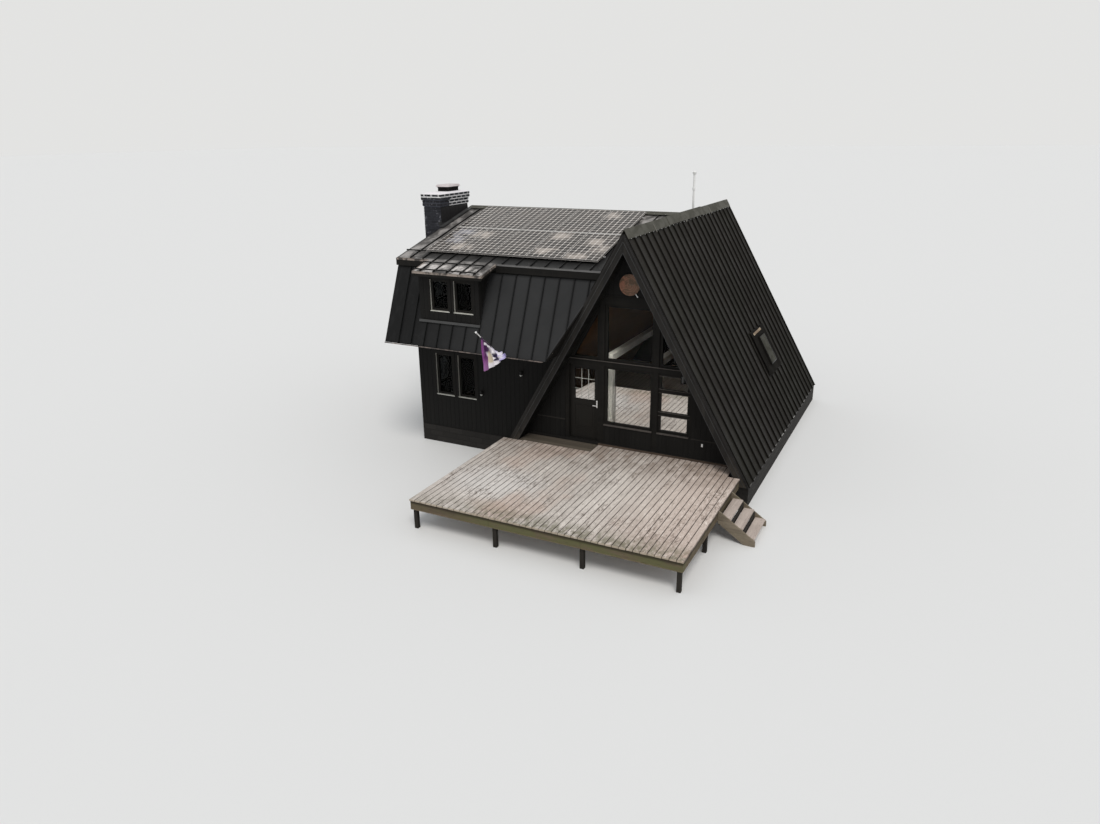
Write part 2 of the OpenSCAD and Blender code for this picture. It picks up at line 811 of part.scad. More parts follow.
// Openings of a pair of windows, their west edge at x
function pair_x(x) = [x, x + wing_win_w + wing_win_gap];
wing_win_x = wing_wall_x + wing_win_in;
wing_win_z1 = wing_sill_z + wing_win_h;
dormer_foot_z = round(steep_z + (dormer_y - steep_y) * steep_s);
dormer_sill_z = dormer_foot_z + dormer_sill_up;
dormer_win_x = dormer_x + dormer_win_in;

module wing_walls() color([0.1, 0.1, 0.1]) {
    wing_both() difference() {
        span([wing_wall_x + wall_t, -wall_y, eave_z], [0, wall_y, steep_z]);
        a_frame_space();
        for (x = pair_x(wing_win_x))
            span([x, -wall_y - 1, wing_sill_z], [x + wing_win_w, wall_y + 1, wing_win_z1]);
    }
}

// End wall: one storey, then the gable above the upper floor
module wing_west_wall() color([0.1, 0.1, 0.1]) {
    far = 2 * wing_ridge_y;
    zt = steep_z + deck2_t;
    behind = steep_hy + fit_gap;
    y_in = steep_face(zt, behind);
    z_m = steep_meet(behind) - fit_gap;
    y_m = steep_face(z_m, behind);
    difference() {
        union() {
            span([wing_wall_x, -wall_y, eave_z], [wing_wall_x + wall_t, far + wall_y, steep_z]);
            along_x(wing_wall_x, wing_wall_x + wall_t) polygon([[y_in, zt], [far - y_in, zt],
                [far - y_m, z_m], [wing_ridge_y, wing_z - wing_vz - fit_gap], [y_m, z_m]]);
        }
        west_windows(0);
    }
}

// The end wall's windows, two to a storey, clear of the chimney breast
west_y = [700, 4400];
west_up_z = 3950;
module west_windows(kind) {
    for (y = west_y) for (z = [wing_sill_z, west_up_z]) {
        y1 = y + wing_win_w;
        z1 = z + dormer_win_h;
        if (kind == 0) span([wing_wall_x - 1, y, z], [wing_wall_x + wall_t + 1, y1, z1]);
        if (kind == 1) difference() {
            span([wing_wall_x + sash_back, y, z], [wing_wall_x + sash_back + sash_t, y1, z1]);
            span([wing_wall_x, y + sash_w, z + sash_w], [wing_wall_x + wall_t, y1 - sash_w, z1 - sash_w]);
        }
        if (kind == 2) {
            mid = wing_wall_x + sash_back + sash_t / 2;
            span([mid - glass_t / 2, y + sash_w, z + sash_w], [mid + glass_t / 2, y1 - sash_w, z1 - sash_w]);
        }
    }
}

module wing_window_frames() color([0.75, 0.75, 0.73]) {
    wing_both() {
        for (x = pair_x(wing_win_x))
            window_ring(x, x + wing_win_w, wing_sill_z, wing_win_z1, -wall_y + sash_back);
        for (x = pair_x(dormer_win_x))
            window_ring(x, x + wing_win_w, dormer_sill_z, dormer_sill_z + dormer_win_h, dormer_y + sash_back);
    }
    west_windows(1);
}

module wing_glass() color([0.5, 0.6, 0.6, 0.4]) {
    wing_both() {
        for (x = pair_x(wing_win_x))
            window_pane(x, x + wing_win_w, wing_sill_z, wing_win_z1, -wall_y + sash_back);
        for (x = pair_x(dormer_win_x))
            window_pane(x, x + wing_win_w, dormer_sill_z, dormer_sill_z + dormer_win_h, dormer_y + sash_back);
    }
    west_windows(2);
}

// Steep lower roof, in three lengths: beside, below and beside the dormer
module steep_profile(z0, z1 = 0) {
    zo = z1 > 0 ? z1 : steep_meet(0) - fit_gap;
    zi = z1 > 0 ? z1 : steep_meet(steep_hy) - fit_gap;
    polygon([[steep_face(z0), z0], [steep_face(zo), zo], [steep_face(zi, steep_hy), zi],
        [steep_face(z0, steep_hy), z0]]);
}

module wing_steep_roof() color("saddlebrown") {
    wing_both() difference() {
        union() {
            along_x(wing_x, dormer_in_x - eps_joint) steep_profile(steep_z);
            along_x(dormer_in_x, dormer_in_x1) steep_profile(steep_z, dormer_foot_z);
            along_x(dormer_in_x1 + eps_joint, 0) steep_profile(steep_z);
        }
        a_frame_space();
    }
}

// Board that closes the steep roof's end where it stands in front of the rake boards
module steep_return() color([0.09, 0.09, 0.09]) {
    y1 = front_y - rake_t - fit_gap;
    z1 = steep_z + (y1 - steep_y) * steep_s;
    intersection() {
        difference() {
            a_frame_space();
            a_frame_space(-eave_board_t);
        }
        along_x(-out_x(0), 0) polygon([[steep_y, steep_z], [y1, z1], [y1, steep_z]]);
    }
}

module wing_half_roof() {
    difference() {
        along_x(wing_x, 0) polygon([[wing_eave_y, wing_under(wing_eave_y)], [wing_eave_y, wing_eave_z],
            [wing_ridge_y, wing_z], [wing_ridge_y, wing_z - wing_vz]]);
        a_frame_space();
        cap_space();
    }
}

module wing_roof_front() color("saddlebrown") {
    wing_half_roof();
}

module wing_roof_rear() color("saddlebrown") {
    wing_rear() wing_half_roof();
}

module dormer_roofs() color([0.2, 0.2, 0.2]) {
    wing_both() along_x(dormer_x, dormer_x1) polygon([
        [dormer_eave_y, wing_top(dormer_eave_y) - dormer_vz], [dormer_eave_y, wing_top(dormer_eave_y)],
        [wing_eave_y, wing_eave_z], [wing_eave_y, wing_eave_z - dormer_vz]]);
}

// Sheet metal of the wing: upper roof with the dormer roof, and the steep lower roof
module wing_metal() color([0.16, 0.16, 0.16]) {
    up_len = (wing_run + dormer_out) / cos(wing_a);
    top = wing_eave_z - eave_board_h - seam_h;
    steep_len = (top - steep_z) / sin(steep_a);
    high = 2 * ridge_z;
    wing_both() difference() {
        union() {
            intersection() {
                on_wing_face(wing_x, wing_ridge_y, wing_z, wing_a)
                    seamed_sheet(wing_reach, up_len);
                union() {
                    span([wing_x, wing_eave_y, 0], [0, wing_ridge_y, high]);
                    span([dormer_x, dormer_eave_y, 0], [dormer_x1, wing_ridge_y, high]);
                }
            }
            difference() {
                on_wing_face(wing_x, steep_face(top), top, steep_a)
                    seamed_sheet(wing_reach, steep_len);
                span([dormer_x + dormer_west - eps_joint, dormer_eave_y, dormer_foot_z - eps_joint],
                    [dormer_x1 - dormer_east + eps_joint, 0, high]);
            }
        }
        a_frame_space();
        cap_space();
    }
}

module wing_ridge_cap() color([0.6, 0.6, 0.58]) {
    apex = wing_z + seam_h / cos(wing_a) + fit_gap;
    dy = cap_w * cos(wing_a);
    dz = cap_w * sin(wing_a);
    difference() {
        along_x(wing_x, 0) polygon([[wing_ridge_y, apex + cap_t], [wing_ridge_y + dy, apex + cap_t - dz],
            [wing_ridge_y + dy, apex - dz], [wing_ridge_y, apex], [wing_ridge_y - dy, apex - dz],
            [wing_ridge_y - dy, apex + cap_t - dz]]);
        a_frame_space(seam_h + 2 * cap_t + 3);
    }
}

// Boards on the edges of the upper and dormer roofs
module eaves_boards() color([0.09, 0.09, 0.09]) {
    z1 = wing_eave_z;
    dz1 = wing_top(dormer_eave_y);
    wing_both() difference() {
        union() {
            span([wing_x, wing_eave_y - eave_board_t, z1 - eave_board_h], [dormer_x, wing_eave_y, z1]);
            span([dormer_x1, wing_eave_y - eave_board_t, z1 - eave_board_h], [0, wing_eave_y, z1]);
            span([dormer_x, dormer_eave_y - eave_board_t, dz1 - dormer_vz - 20],
                [dormer_x1, dormer_eave_y, dz1]);
        }
        a_frame_space();
    }
}

// Boards that close the west ends of the wing's roofs, notched round the chimney
module verge_boards() color([0.09, 0.09, 0.09]) {
    far = 2 * wing_ridge_y;
    lap = steep_hy + verge_lap;
    y0 = wing_eave_y - eave_board_t;
    z0 = wing_eave_z - eave_board_h;
    zu = wing_under(wing_eave_y) - verge_lap;
    zo = steep_meet(0);
    zi = steep_meet(lap);
    difference() {
        along_x(wing_x - eave_board_t, wing_x) {
            polygon([[y0, z0], [y0, wing_eave_z], [wing_eave_y, wing_eave_z], [wing_ridge_y, wing_z],
                [far - wing_eave_y, wing_eave_z], [far - y0, wing_eave_z], [far - y0, z0],
                [far - wing_eave_y, zu], [wing_ridge_y, wing_z - wing_vz - verge_lap], [wing_eave_y, zu]]);
            for (k = [[0, 1], [far, -1]]) polygon([for (p = [[steep_face(steep_z), steep_z],
                [steep_face(zo), zo], [steep_face(zi, lap), zi], [steep_face(steep_z, lap), steep_z]])
                [k[0] + k[1] * p[0], p[1]]]);
        }
        span([stack_x0, stack_y - stack_gap, 0], [wing_x + 1, stack_y1 + stack_gap, 2 * ridge_z]);
    }
}

module dormer_faces() color([0.1, 0.1, 0.1]) {
    wing_both() difference() {
        along_x(dormer_in_x, dormer_in_x1) polygon([
            [dormer_y, dormer_foot_z], [dormer_y + dormer_t, dormer_foot_z],
            [dormer_y + dormer_t, wing_top(dormer_y + dormer_t) - dormer_vz - fit_gap],
            [dormer_y, wing_top(dormer_y) - dormer_vz - fit_gap]]);
        for (x = pair_x(dormer_win_x))
            span([x, dormer_y - 1, dormer_sill_z],
                [x + wing_win_w, dormer_y + dormer_t + 1, dormer_sill_z + dormer_win_h]);
    }
}

// Sides of the dormer, standing on the steep roof and closed up to the main slab's edge
module dormer_cheeks() color([0.1, 0.1, 0.1]) {
    on = -fit_gap;
    zm = steep_meet(on) - fit_gap;
    ye = wing_eave_y - fit_gap;
    wing_both() for (x = [dormer_in_x - dormer_t, dormer_in_x1]) along_x(x, x + dormer_t)
        polygon([[dormer_y, steep_z + (dormer_y - on - steep_y) * steep_s], [steep_face(zm, on), zm],
            [ye, wing_under(ye) - fit_gap], [ye, wing_top(ye) - dormer_vz - fit_gap],
            [dormer_y, wing_top(dormer_y) - dormer_vz - fit_gap]]);
}

// Solar array: two rows of modules on rails that lie on the seams
array_x1 = -array_in;
array_len = 2 * module_l + module_gap;
module on_wing_roof() {
    translate([0, wing_ridge_y, wing_z]) rotate([wing_a, 0, 0]) mirror([0, 1, 0]) children();
}

module solar_modules() color([0.12, 0.14, 0.2]) {
    z = seam_h + rail_h + 2 * fit_gap;
    on_wing_roof() for (i = [0:module_n - 1]) for (j = [0, 1])
        translate([array_x1 - (i + 1) * module_w - i * module_gap,
            array_top + j * (module_l + module_gap), z])
            cube([module_w, module_l, module_t]);
}

module solar_rails() color("silver") {
    reach = 60;
    w = module_n * module_w + (module_n - 1) * module_gap;
    on_wing_roof() for (j = [0, 1]) for (k = [0.2, 0.8])
        translate([array_x1 - w - reach, array_top + j * (module_l + module_gap) + k * module_l - rail_w / 2,
            seam_h + fit_gap]) cube([w + 2 * reach, rail_w, rail_h]);
}

module snow_bars() color([0.1, 0.1, 0.1]) {
    run = wing_run / cos(wing_a);
    dormer_run = (wing_run + dormer_out) / cos(wing_a);
    array_x0 = array_x1 - module_n * module_w - (module_n - 1) * module_gap;
    z = seam_h + fit_gap;
    on_wing_roof() {
        for (d = [bar_low, bar_high]) translate([dormer_x + bar_in, dormer_run - d - bar_t, z])
            cube([dormer_w - bar_in - bar_in_east, bar_t, bar_t]);
        translate([wing_x + bar_in, run - bar_west - bar_t, z])
            cube([array_x0 - wing_x - 3 * bar_in, bar_t, bar_t]);
    }
}

stack_x1 = wing_x - stack_gap;
stack_x0 = stack_x1 - stack_w;
stack_y1 = stack_y + stack_d;

module chimney_breast() color([0.16, 0.17, 0.19]) {
    span([stack_x0, stack_y, 0], [wing_wall_x, stack_y1, shoulder_z]);
}

module chimney_stack() color([0.16, 0.17, 0.19]) {
    span([stack_x0, stack_y, shoulder_z], [stack_x1, stack_y1, stack_z]);
    for (i = [0, 1]) {
        out = corbel_out * (i + 1);
        z = stack_z - (2 - i) * corbel_h;
        span([stack_x0 - out, stack_y - out, z],
            [stack_x1 + out, stack_y1 + out, stack_z - (1 - i) * corbel_h / 4]);
    }
}

// Small round-cornered plate on four legs over the flue
module chimney_cap() color([0.55, 0.55, 0.53]) {
    leg = 36;
    corner = 80;
    hx = stack_cap_w / 2;
    hy = stack_cap_d / 2;
    translate([(stack_x0 + stack_x1) / 2, (stack_y + stack_y1) / 2 + cap_back, stack_z]) {
        for (x = [-hx + corner, hx - corner]) for (y = [-hy + corner, hy - corner]) {
            translate([x - leg / 2, y - leg / 2, 0]) cube([leg, leg, cap_leg_h]);
            translate([x, y, cap_leg_h]) cylinder(r = corner, h = stack_cap_t);
        }
        span([-hx + corner, -hy, cap_leg_h], [hx - corner, hy, cap_leg_h + stack_cap_t]);
        span([-hx, -hy + corner, cap_leg_h], [hx, hy - corner, cap_leg_h + stack_cap_t]);
    }
}

deck_y = -deck_out;
deck_back_y = front_y - rake_t - deck_rake_gap;
deck_notch_x = in_x(deck_z) - deck_rake_gap;

module deck_floor() color([0.6, 0.57, 0.54]) {
    z0 = deck_z - board_t;
    span([-deck_west, deck_y, z0], [deck_east, deck_back_y, deck_z]);
    span([-deck_notch_x, deck_back_y, z0], [deck_notch_x, -wall_y, deck_z]);
}

rim_z1 = deck_z - board_t;
rim_z0 = rim_z1 - rim_h;
rim_x0 = -deck_west + nosing;
rim_x1 = deck_east - nosing;
rim_y = deck_y + nosing;
beam_rows = 2;
beam_step = (deck_back_y - rim_y) / (beam_rows + 0.4);

module deck_frame() color([0.4, 0.38, 0.34]) {
    span([rim_x0, rim_y, rim_z0], [rim_x1, rim_y + rim_t, rim_z1]);
    for (x = [rim_x0, rim_x1 - rim_t])
        span([x, rim_y + rim_t + eps_joint, rim_z0], [x + rim_t, deck_back_y - nosing, rim_z1]);
    for (i = [1:beam_rows])
        span([rim_x0 + rim_t + eps_joint, rim_y + i * beam_step, rim_z0],
            [rim_x1 - rim_t - eps_joint, rim_y + i * beam_step + 2 * rim_t, rim_z1]);
}

module deck_posts() color([0.4, 0.38, 0.34]) {
    pitch = (rim_x1 - rim_x0 - 2 * rim_t - 2 * eps_joint - deck_post) / (deck_post_n - 1);
    for (i = [0:deck_post_n - 1]) {
        x = rim_x0 + rim_t + eps_joint + i * pitch;
        span([x, rim_y + rim_t, 0], [x + deck_post, rim_y + rim_t + deck_post, rim_z1]);
        for (j = [1:beam_rows])
            span([x, rim_y + j * beam_step, 0], [x + deck_post, rim_y + j * beam_step + deck_post, rim_z0]);
    }
}

// Three treads between two stringers, east of the deck
step_y1 = deck_back_y - step_in;
step_y0 = step_y1 - step_w;
step_x = deck_east + 30;
step_n = 3;

module step_stringers() color([0.42, 0.4, 0.36]) {
    pitch = step_rise / step_go;
    dz = stringer_d * sqrt(1 + pitch * pitch);
    x1 = step_x + (step_n - 1) * step_go + tread_d + nosing;
    z1 = rim_z1 - (x1 - rim_x1) * pitch;
    foot_x = rim_x1 + (rim_z1 - dz) / pitch;
    for (y = [step_y0, step_y1 - step_t]) along_y(y, y + step_t)
        polygon([[rim_x1, rim_z1 - dz], [rim_x1, rim_z1], [x1, z1], [x1, 0], [foot_x, 0]]);
}

module step_treads() color([0.6, 0.57, 0.54]) {
    for (i = [1:step_n]) {
        z = deck_z - i * step_rise;
        x = step_x + (i - 1) * step_go;
        span([x, step_y0 + step_t, z - step_t], [x + tread_d, step_y1 - step_t, z]);
    }
}

module skylight_frame() color([0.12, 0.12, 0.12]) {
    difference() {
        skylight_place(skylight_w, skylight_l, kerb_h);
        skylight_place(skylight_w - 2 * kerb_t, skylight_l - 2 * kerb_t, 2 * kerb_h);
    }
}

module skylight_pane() {
    mid = roof_s - skylight_up;
    w = skylight_w - 2 * kerb_t;
    l = skylight_l - 2 * kerb_t;
    on_east_face() translate([skylight_y - front_y - w / 2, kerb_h - 2 * glass_t, mid - l / 2])
        cube([w, glass_t, l]);
}

module service_mast() color([0.8, 0.8, 0.78]) {
    foot_z = ridge_z - mast_x * tan(roof_a);
    head_r = 62;
    difference() {
        union() {
            translate([-mast_x, mast_y, foot_z - 300]) cylinder(r = mast_r, h = mast_z - foot_z + 230);
            translate([-mast_x, mast_y, mast_z - 90]) cylinder(r1 = mast_r + 12, r2 = head_r, h = 60);
            translate([-mast_x, mast_y, mast_z - 30]) cylinder(r1 = head_r, r2 = mast_r, h = 30);
            translate([-mast_x, mast_y, mast_z - collar_down]) cylinder(r = mast_r + 14, h = 60);
        }
        a_frame_space(pan_t);
        wing_envelope(pan_t);
    }
}

// Lantern on the transom, and two small lights on the wing's front wall
module wall_lamps() color([0.15, 0.15, 0.15]) {
    x = side_x - lantern_in;
    out = 80;
    top = transom_z + transom_h - 30;
    translate([x, -wall_y, top]) {
        translate([-35, -14, -70]) cube([70, 14, 70]);
        translate([-12, -out, -30]) cube([24, out, 20]);
        translate([0, -out, -250]) cylinder(r = 50, h = 190);
        translate([0, -out, -60]) cylinder(r1 = 62, r2 = 15, h = 40);
    }
    for (p = small_lights) translate([p[0], -wall_y, p[1]]) {
        translate([-30, -12, -40]) cube([60, 12, 80]);
        translate([0, -70, -60]) cylinder(r = 34, h = 110);
        translate([-12, -60, 10]) cube([24, 50, 20]);
    }
}

module flag_staff() color("white") {
    far = 400;
    difference() {
        translate(staff_foot) rotate([90 - staff_a, 0, 0]) {
            translate([0, 0, -staff_back]) cylinder(r = staff_r, h = staff_l + staff_back);
            translate([0, 0, -staff_back]) cylinder(r = 2 * staff_r, h = staff_back + 80);
            translate([0, 0, staff_l]) sphere(r = 2 * staff_r);
        }
        // Everything behind the steep roof's sheet
        along_x(-staff_x - far, -staff_x + far) polygon([for (z = [steep_z - far, steep_z + far])
            [steep_face(z, -pan_t / sin(steep_a)), z], [0, steep_z + far], [0, steep_z - far]]);
    }
}

// Hanging cloth, kept as one plain closed solid
module flag() color([0.5, 0.3, 0.55]) {
    ca = cos(staff_a);
    sa = sin(staff_a);
    y1 = staff_foot[1] - (staff_l - flag_in) * ca;
    z1 = staff_foot[2] + (staff_l - flag_in) * sa - staff_r / ca - eps_joint;
    y0 = y1 + flag_w * ca;
    z0 = z1 - flag_w * sa;
    along_x(-staff_x - flag_t / 2, -staff_x + flag_t / 2)
        polygon([[y1, z1], [y0, z0], [y0, z0 - flag_drop * 0.3], [y1 + flag_w * 0.62, z1 - flag_drop],
            [y1 + flag_w * 0.2, z1 - flag_drop]]);
}

foundation_cross();
foundation_long();
cabin_floor();
wing_floor();
wing_upper_floor();
roof_east();
roof_west();
metal_east();
metal_west();
ridge_cap();
rake_boards();
front_posts();
front_beams();
gable_panel();
gable_disc();
front_wall();
door_frame();
front_door();
door_hinges();
door_glass();
door_lever();
cabin_window_frames();
cabin_glass();
rear_wall();
loft_posts();
loft_beams();
wing_walls();
wing_west_wall();
wing_window_frames();
wing_glass();
wing_steep_roof();
steep_return();
wing_roof_front();
wing_roof_rear();
dormer_roofs();
wing_metal();
wing_ridge_cap();
eaves_boards();
verge_boards();
dormer_faces();
dormer_cheeks();
solar_modules();
solar_rails();
snow_bars();
chimney_breast();
chimney_stack();
chimney_cap();
deck_floor();
deck_frame();
deck_posts();
step_stringers();
step_treads();
skylight_frame();
service_mast();
wall_lamps();
flag_staff();
flag();
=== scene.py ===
"""Dresses the black A-frame cabin: its sheets, boards, bricks, glass, solar cells, deck and flag.

Metres, in the frame of the solids: x to the right along the front gable, y to the back, z up.
"""

import math
import random

import bmesh
import bpy
from mathutils import Matrix, Vector


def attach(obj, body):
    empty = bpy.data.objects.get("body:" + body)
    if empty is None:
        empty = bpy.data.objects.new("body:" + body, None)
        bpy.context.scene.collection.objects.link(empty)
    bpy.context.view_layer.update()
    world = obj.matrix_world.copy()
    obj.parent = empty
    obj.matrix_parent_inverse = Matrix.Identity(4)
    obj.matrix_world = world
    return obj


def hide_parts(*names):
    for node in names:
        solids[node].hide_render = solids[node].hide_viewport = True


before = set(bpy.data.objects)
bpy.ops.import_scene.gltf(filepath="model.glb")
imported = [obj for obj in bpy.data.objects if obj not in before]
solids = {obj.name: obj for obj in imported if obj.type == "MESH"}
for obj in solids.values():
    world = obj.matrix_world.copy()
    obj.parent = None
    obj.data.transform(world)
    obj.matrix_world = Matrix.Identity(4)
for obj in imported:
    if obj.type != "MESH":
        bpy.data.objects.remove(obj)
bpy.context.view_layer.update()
scene = bpy.context.scene
dice = random.Random(4)

# Places on the cabin

RIDGE_Z, EAVE_Z, EAVE_HALF = 6.190, 0.490, 3.245
SLOPE = (RIDGE_Z - EAVE_Z) / EAVE_HALF
ROOF_RUN = math.hypot(EAVE_HALF, RIDGE_Z - EAVE_Z)
FLOOR_Z, SILL_Z, TRANSOM_Z, BEAM_Z, TIE_Z, PANEL_Z = 0.800, 1.310, 2.860, 2.980, 4.433, 4.651
WALL = 0.075
BACK_WALL = 7.775
MIDDLE_BAY, SIDE_BAY = (-0.650, 0.650), (0.780, 1.600)
DOOR_LIGHTS = (-1.512, -0.938, 1.862, 2.712)
WING_WALL_X, WING_EDGE_X = -6.300, -6.565
WING_RIDGE_Y, WING_RIDGE_Z, WING_SLOPE = 3.430, 6.262, 0.2619
WING_EAVE_Y, WING_EAST_X = -0.396, -0.46
STEEP_Y, STEEP_Z, STEEP_ANGLE = -1.162, 3.121, math.radians(67.1)
DORMER_Y, DORMER_FOOT_Z, DORMER_WEST, DORMER_EAST = -0.890, 3.765, -5.545, -3.735
DORMER_EAVE_Y, DORMER_ROOF_WEST, DORMER_ROOF_EAST = -1.120, -5.566, -3.484
MODULE_WIDE, MODULE_TALL, MODULE_GAP, ARRAY_WEST, ARRAY_TOP = 0.990, 1.688, 0.010, -5.855, -0.181
STACK_WEST, STACK_EAST, STACK_FRONT, STACK_BACK = -7.140, -6.580, 1.775, 3.210
DECK_Z, DECK_WEST, DECK_EAST, DECK_FRONT, DECK_BACK = 0.726, -3.294, 3.055, -4.860, -0.643
DECK_COUNT, DECK_GAP = 43, 0.009
DECK_PITCH = (DECK_EAST - DECK_WEST) / DECK_COUNT
STAFF_FOOT, STAFF_ANGLE = Vector((-3.080, -1.162, 3.181)), math.radians(38)

# Window openings: left, right, low, high
WING_WINDOWS = [(-5.742, -5.172, 1.450, 2.650), (-5.022, -4.452, 1.450, 2.650)]
DORMER_WINDOWS = [(-5.212, -4.642, 4.040, 4.870), (-4.492, -3.922, 4.040, 4.870)]
END_WINDOWS = [(y, y + 0.570, z, z + 0.830) for y in (0.700, 4.400) for z in (1.450, 3.950)]


def behind(y):
    """The place as far behind the wing's ridge as y is in front of it."""
    return 2 * WING_RIDGE_Y - y


def wing_top(y):
    """Height of the wing's roof slab above y, in front of or behind the ridge."""
    return WING_RIDGE_Z - abs(WING_RIDGE_Y - y) * WING_SLOPE


def axes(origin, x_way, out_way):
    """A frame with its x along x_way, its z along out_way and its y up between them."""
    x, z = Vector(x_way).normalized(), Vector(out_way).normalized()
    place = Matrix((x, z.cross(x), z)).transposed().to_4x4()
    place.translation = origin
    return place


def facing_front(y):
    """A wall that looks to the front."""
    return axes((0, y, 0), (1, 0, 0), (0, -1, 0))


def facing_back(y):
    """A wall that looks to the back."""
    return axes((0, y, 0), (-1, 0, 0), (0, 1, 0))


def facing_west(x):
    """A wall that looks to the wing's end."""
    return axes((x, 0, 0), (0, -1, 0), (-1, 0, 0))


def facing_east(x):
    """A wall that looks away from the wing."""
    return axes((x, 0, 0), (0, 1, 0), (1, 0, 0))


def turned(openings):
    """The same openings on a wall that is looked at from the other side."""
    return [(-right, -left, low, high) for left, right, low, high in openings]


FRONT, BACK = facing_front(-WALL), facing_back(BACK_WALL)
WING_BACK, WEST = facing_back(behind(-WALL)), facing_west(WING_WALL_X)
DORMER_FRONT, DORMER_BACK = facing_front(DORMER_Y), facing_back(behind(DORMER_Y))
EAST_ROOF = axes((0, 0, RIDGE_Z), (0, 1, 0), (SLOPE, 0, 1))
WEST_ROOF = axes((0, 0, RIDGE_Z), (0, -1, 0), (-SLOPE, 0, 1))
CABIN_ROOFS = ((EAST_ROOF, 1), (WEST_ROOF, -1))
WING_ROOF = axes((0, WING_RIDGE_Y, WING_RIDGE_Z), (1, 0, 0), (0, -WING_SLOPE, 1))
WING_ROOF_BACK = axes((0, WING_RIDGE_Y, WING_RIDGE_Z), (-1, 0, 0), (0, WING_SLOPE, 1))
WING_ROOFS = ((WING_ROOF, 1), (WING_ROOF_BACK, -1))
STEEP_IN, STEEP_UP = math.sin(STEEP_ANGLE), math.cos(STEEP_ANGLE)
STEEP = axes((0, STEEP_Y, STEEP_Z), (1, 0, 0), (0, -STEEP_IN, STEEP_UP))
STEEP_BACK = axes((0, behind(STEEP_Y), STEEP_Z), (-1, 0, 0), (0, STEEP_IN, STEEP_UP))

# Camera


def look():
    """Puts the camera high in front of the deck and to its right."""
    yaw, pitch, roll = (math.radians(a) for a in (27.047, 19.427, -0.696))
    ahead = Vector((-math.sin(yaw) * math.cos(pitch), math.cos(yaw) * math.cos(pitch), -math.sin(pitch)))
    level = Vector((math.cos(yaw), math.sin(yaw), 0))
    right = level * math.cos(roll) + level.cross(ahead) * math.sin(roll)
    place = Matrix((right, right.cross(ahead), -ahead)).transposed().to_4x4()
    place.translation = (6.852, -17.779, 8.428)
    data = bpy.data.cameras.new("camera")
    data.sensor_fit, data.sensor_width, data.lens = "HORIZONTAL", 36, 26.122
    data.clip_end = 900
    eye = bpy.data.objects.new("camera", data)
    eye.matrix_world = place
    scene.collection.objects.link(eye)
    scene.camera = eye


look()

# Shader nodes


class Bench:
    """Places nodes in one shader tree and joins them up."""

    def __init__(self, tree):
        self.tree = tree
        self.count = 0

    def feed(self, node, inputs):
        """Gives a node's inputs their numbers and colours, or links them to other nodes' outputs."""
        for name, value in inputs.items():
            socket = node.inputs[name]
            if isinstance(value, bpy.types.NodeSocket):
                self.tree.links.new(value, socket)
            else:
                socket.default_value = (*value, 1) if socket.type == "RGBA" else value

    def add(self, kind, inputs=None, **settings):
        """A new node with its settings and its inputs."""
        node = self.tree.nodes.new("ShaderNode" + kind)
        node.location = (-1800 + 200 * (self.count % 9), 300 - 260 * (self.count // 9))
        self.count += 1
        for name, value in settings.items():
            setattr(node, name, value)
        self.feed(node, inputs or {})
        return node

    def group(self, tree, **inputs):
        """The outputs of a shared node group."""
        return self.add("Group", inputs, node_tree=tree).outputs

    def maths(self, how, a, b=0.5, clamp=False):
        """What a Math node makes of one or two numbers."""
        return self.add("Math", {0: a, 1: b}, operation=how, use_clamp=clamp).outputs[0]

    def times(self, a, b):
        """a times b."""
        return self.maths("MULTIPLY", a, b)

    def plus(self, a, b):
        """a plus b."""
        return self.maths("ADD", a, b)

    def less(self, a, b):
        """a less b."""
        return self.maths("SUBTRACT", a, b)

    def tint(self, share, under, over):
        """A colour with a share of another over it."""
        return self.add("Mix", {0: share, 6: under, 7: over}, data_type="RGBA", blend_type="MIX").outputs[2]

    def fade(self, value, start, stop, low=0.0, high=1.0):
        """Goes softly from low to high while the value goes from start to stop."""
        spread = {"Value": value, "From Min": start, "From Max": stop, "To Min": low, "To Max": high}
        return self.add("MapRange", spread, interpolation_type="SMOOTHSTEP").outputs[0]

    def band(self, value, start, full, fall, stop):
        """1 between full and fall, going softly to 0 at start and stop."""
        return self.times(self.fade(value, start, full), self.fade(value, stop, fall))

    def noise(self, vector, scale, detail, rough=0.55, twist=0.0):
        """Soft noise, about 0.5 on the whole."""
        how = {"Vector": vector, "Scale": scale, "Detail": detail, "Roughness": rough, "Distortion": twist}
        return self.add("TexNoise", how).outputs["Fac"]

    def place(self, scale=(1, 1, 1)):
        """Where a point is on the cabin, stretched along each axis."""
        start = self.add("TexCoord").outputs["Object"]
        return self.add("Mapping", {"Vector": start, "Scale": scale}).outputs[0]

    def sides(self, vector):
        """The X, Y and Z of a vector."""
        return self.add("SeparateXYZ", {0: vector}).outputs

    def each(self):
        """A number of its own for every board, brick or cell."""
        return self.add("NewGeometry").outputs["Random Per Island"]

    def reach(self, spot, x, y, wide, deep):
        """How far a point is from the middle of an upright oval column, 1 at its edge."""
        inputs = {"Vector": spot, "Location": (-x / wide, -y / deep, 0), "Scale": (1 / wide, 1 / deep, 0)}
        away = self.add("Mapping", inputs).outputs[0]
        return self.add("VectorMath", {0: away}, operation="LENGTH").outputs["Value"]


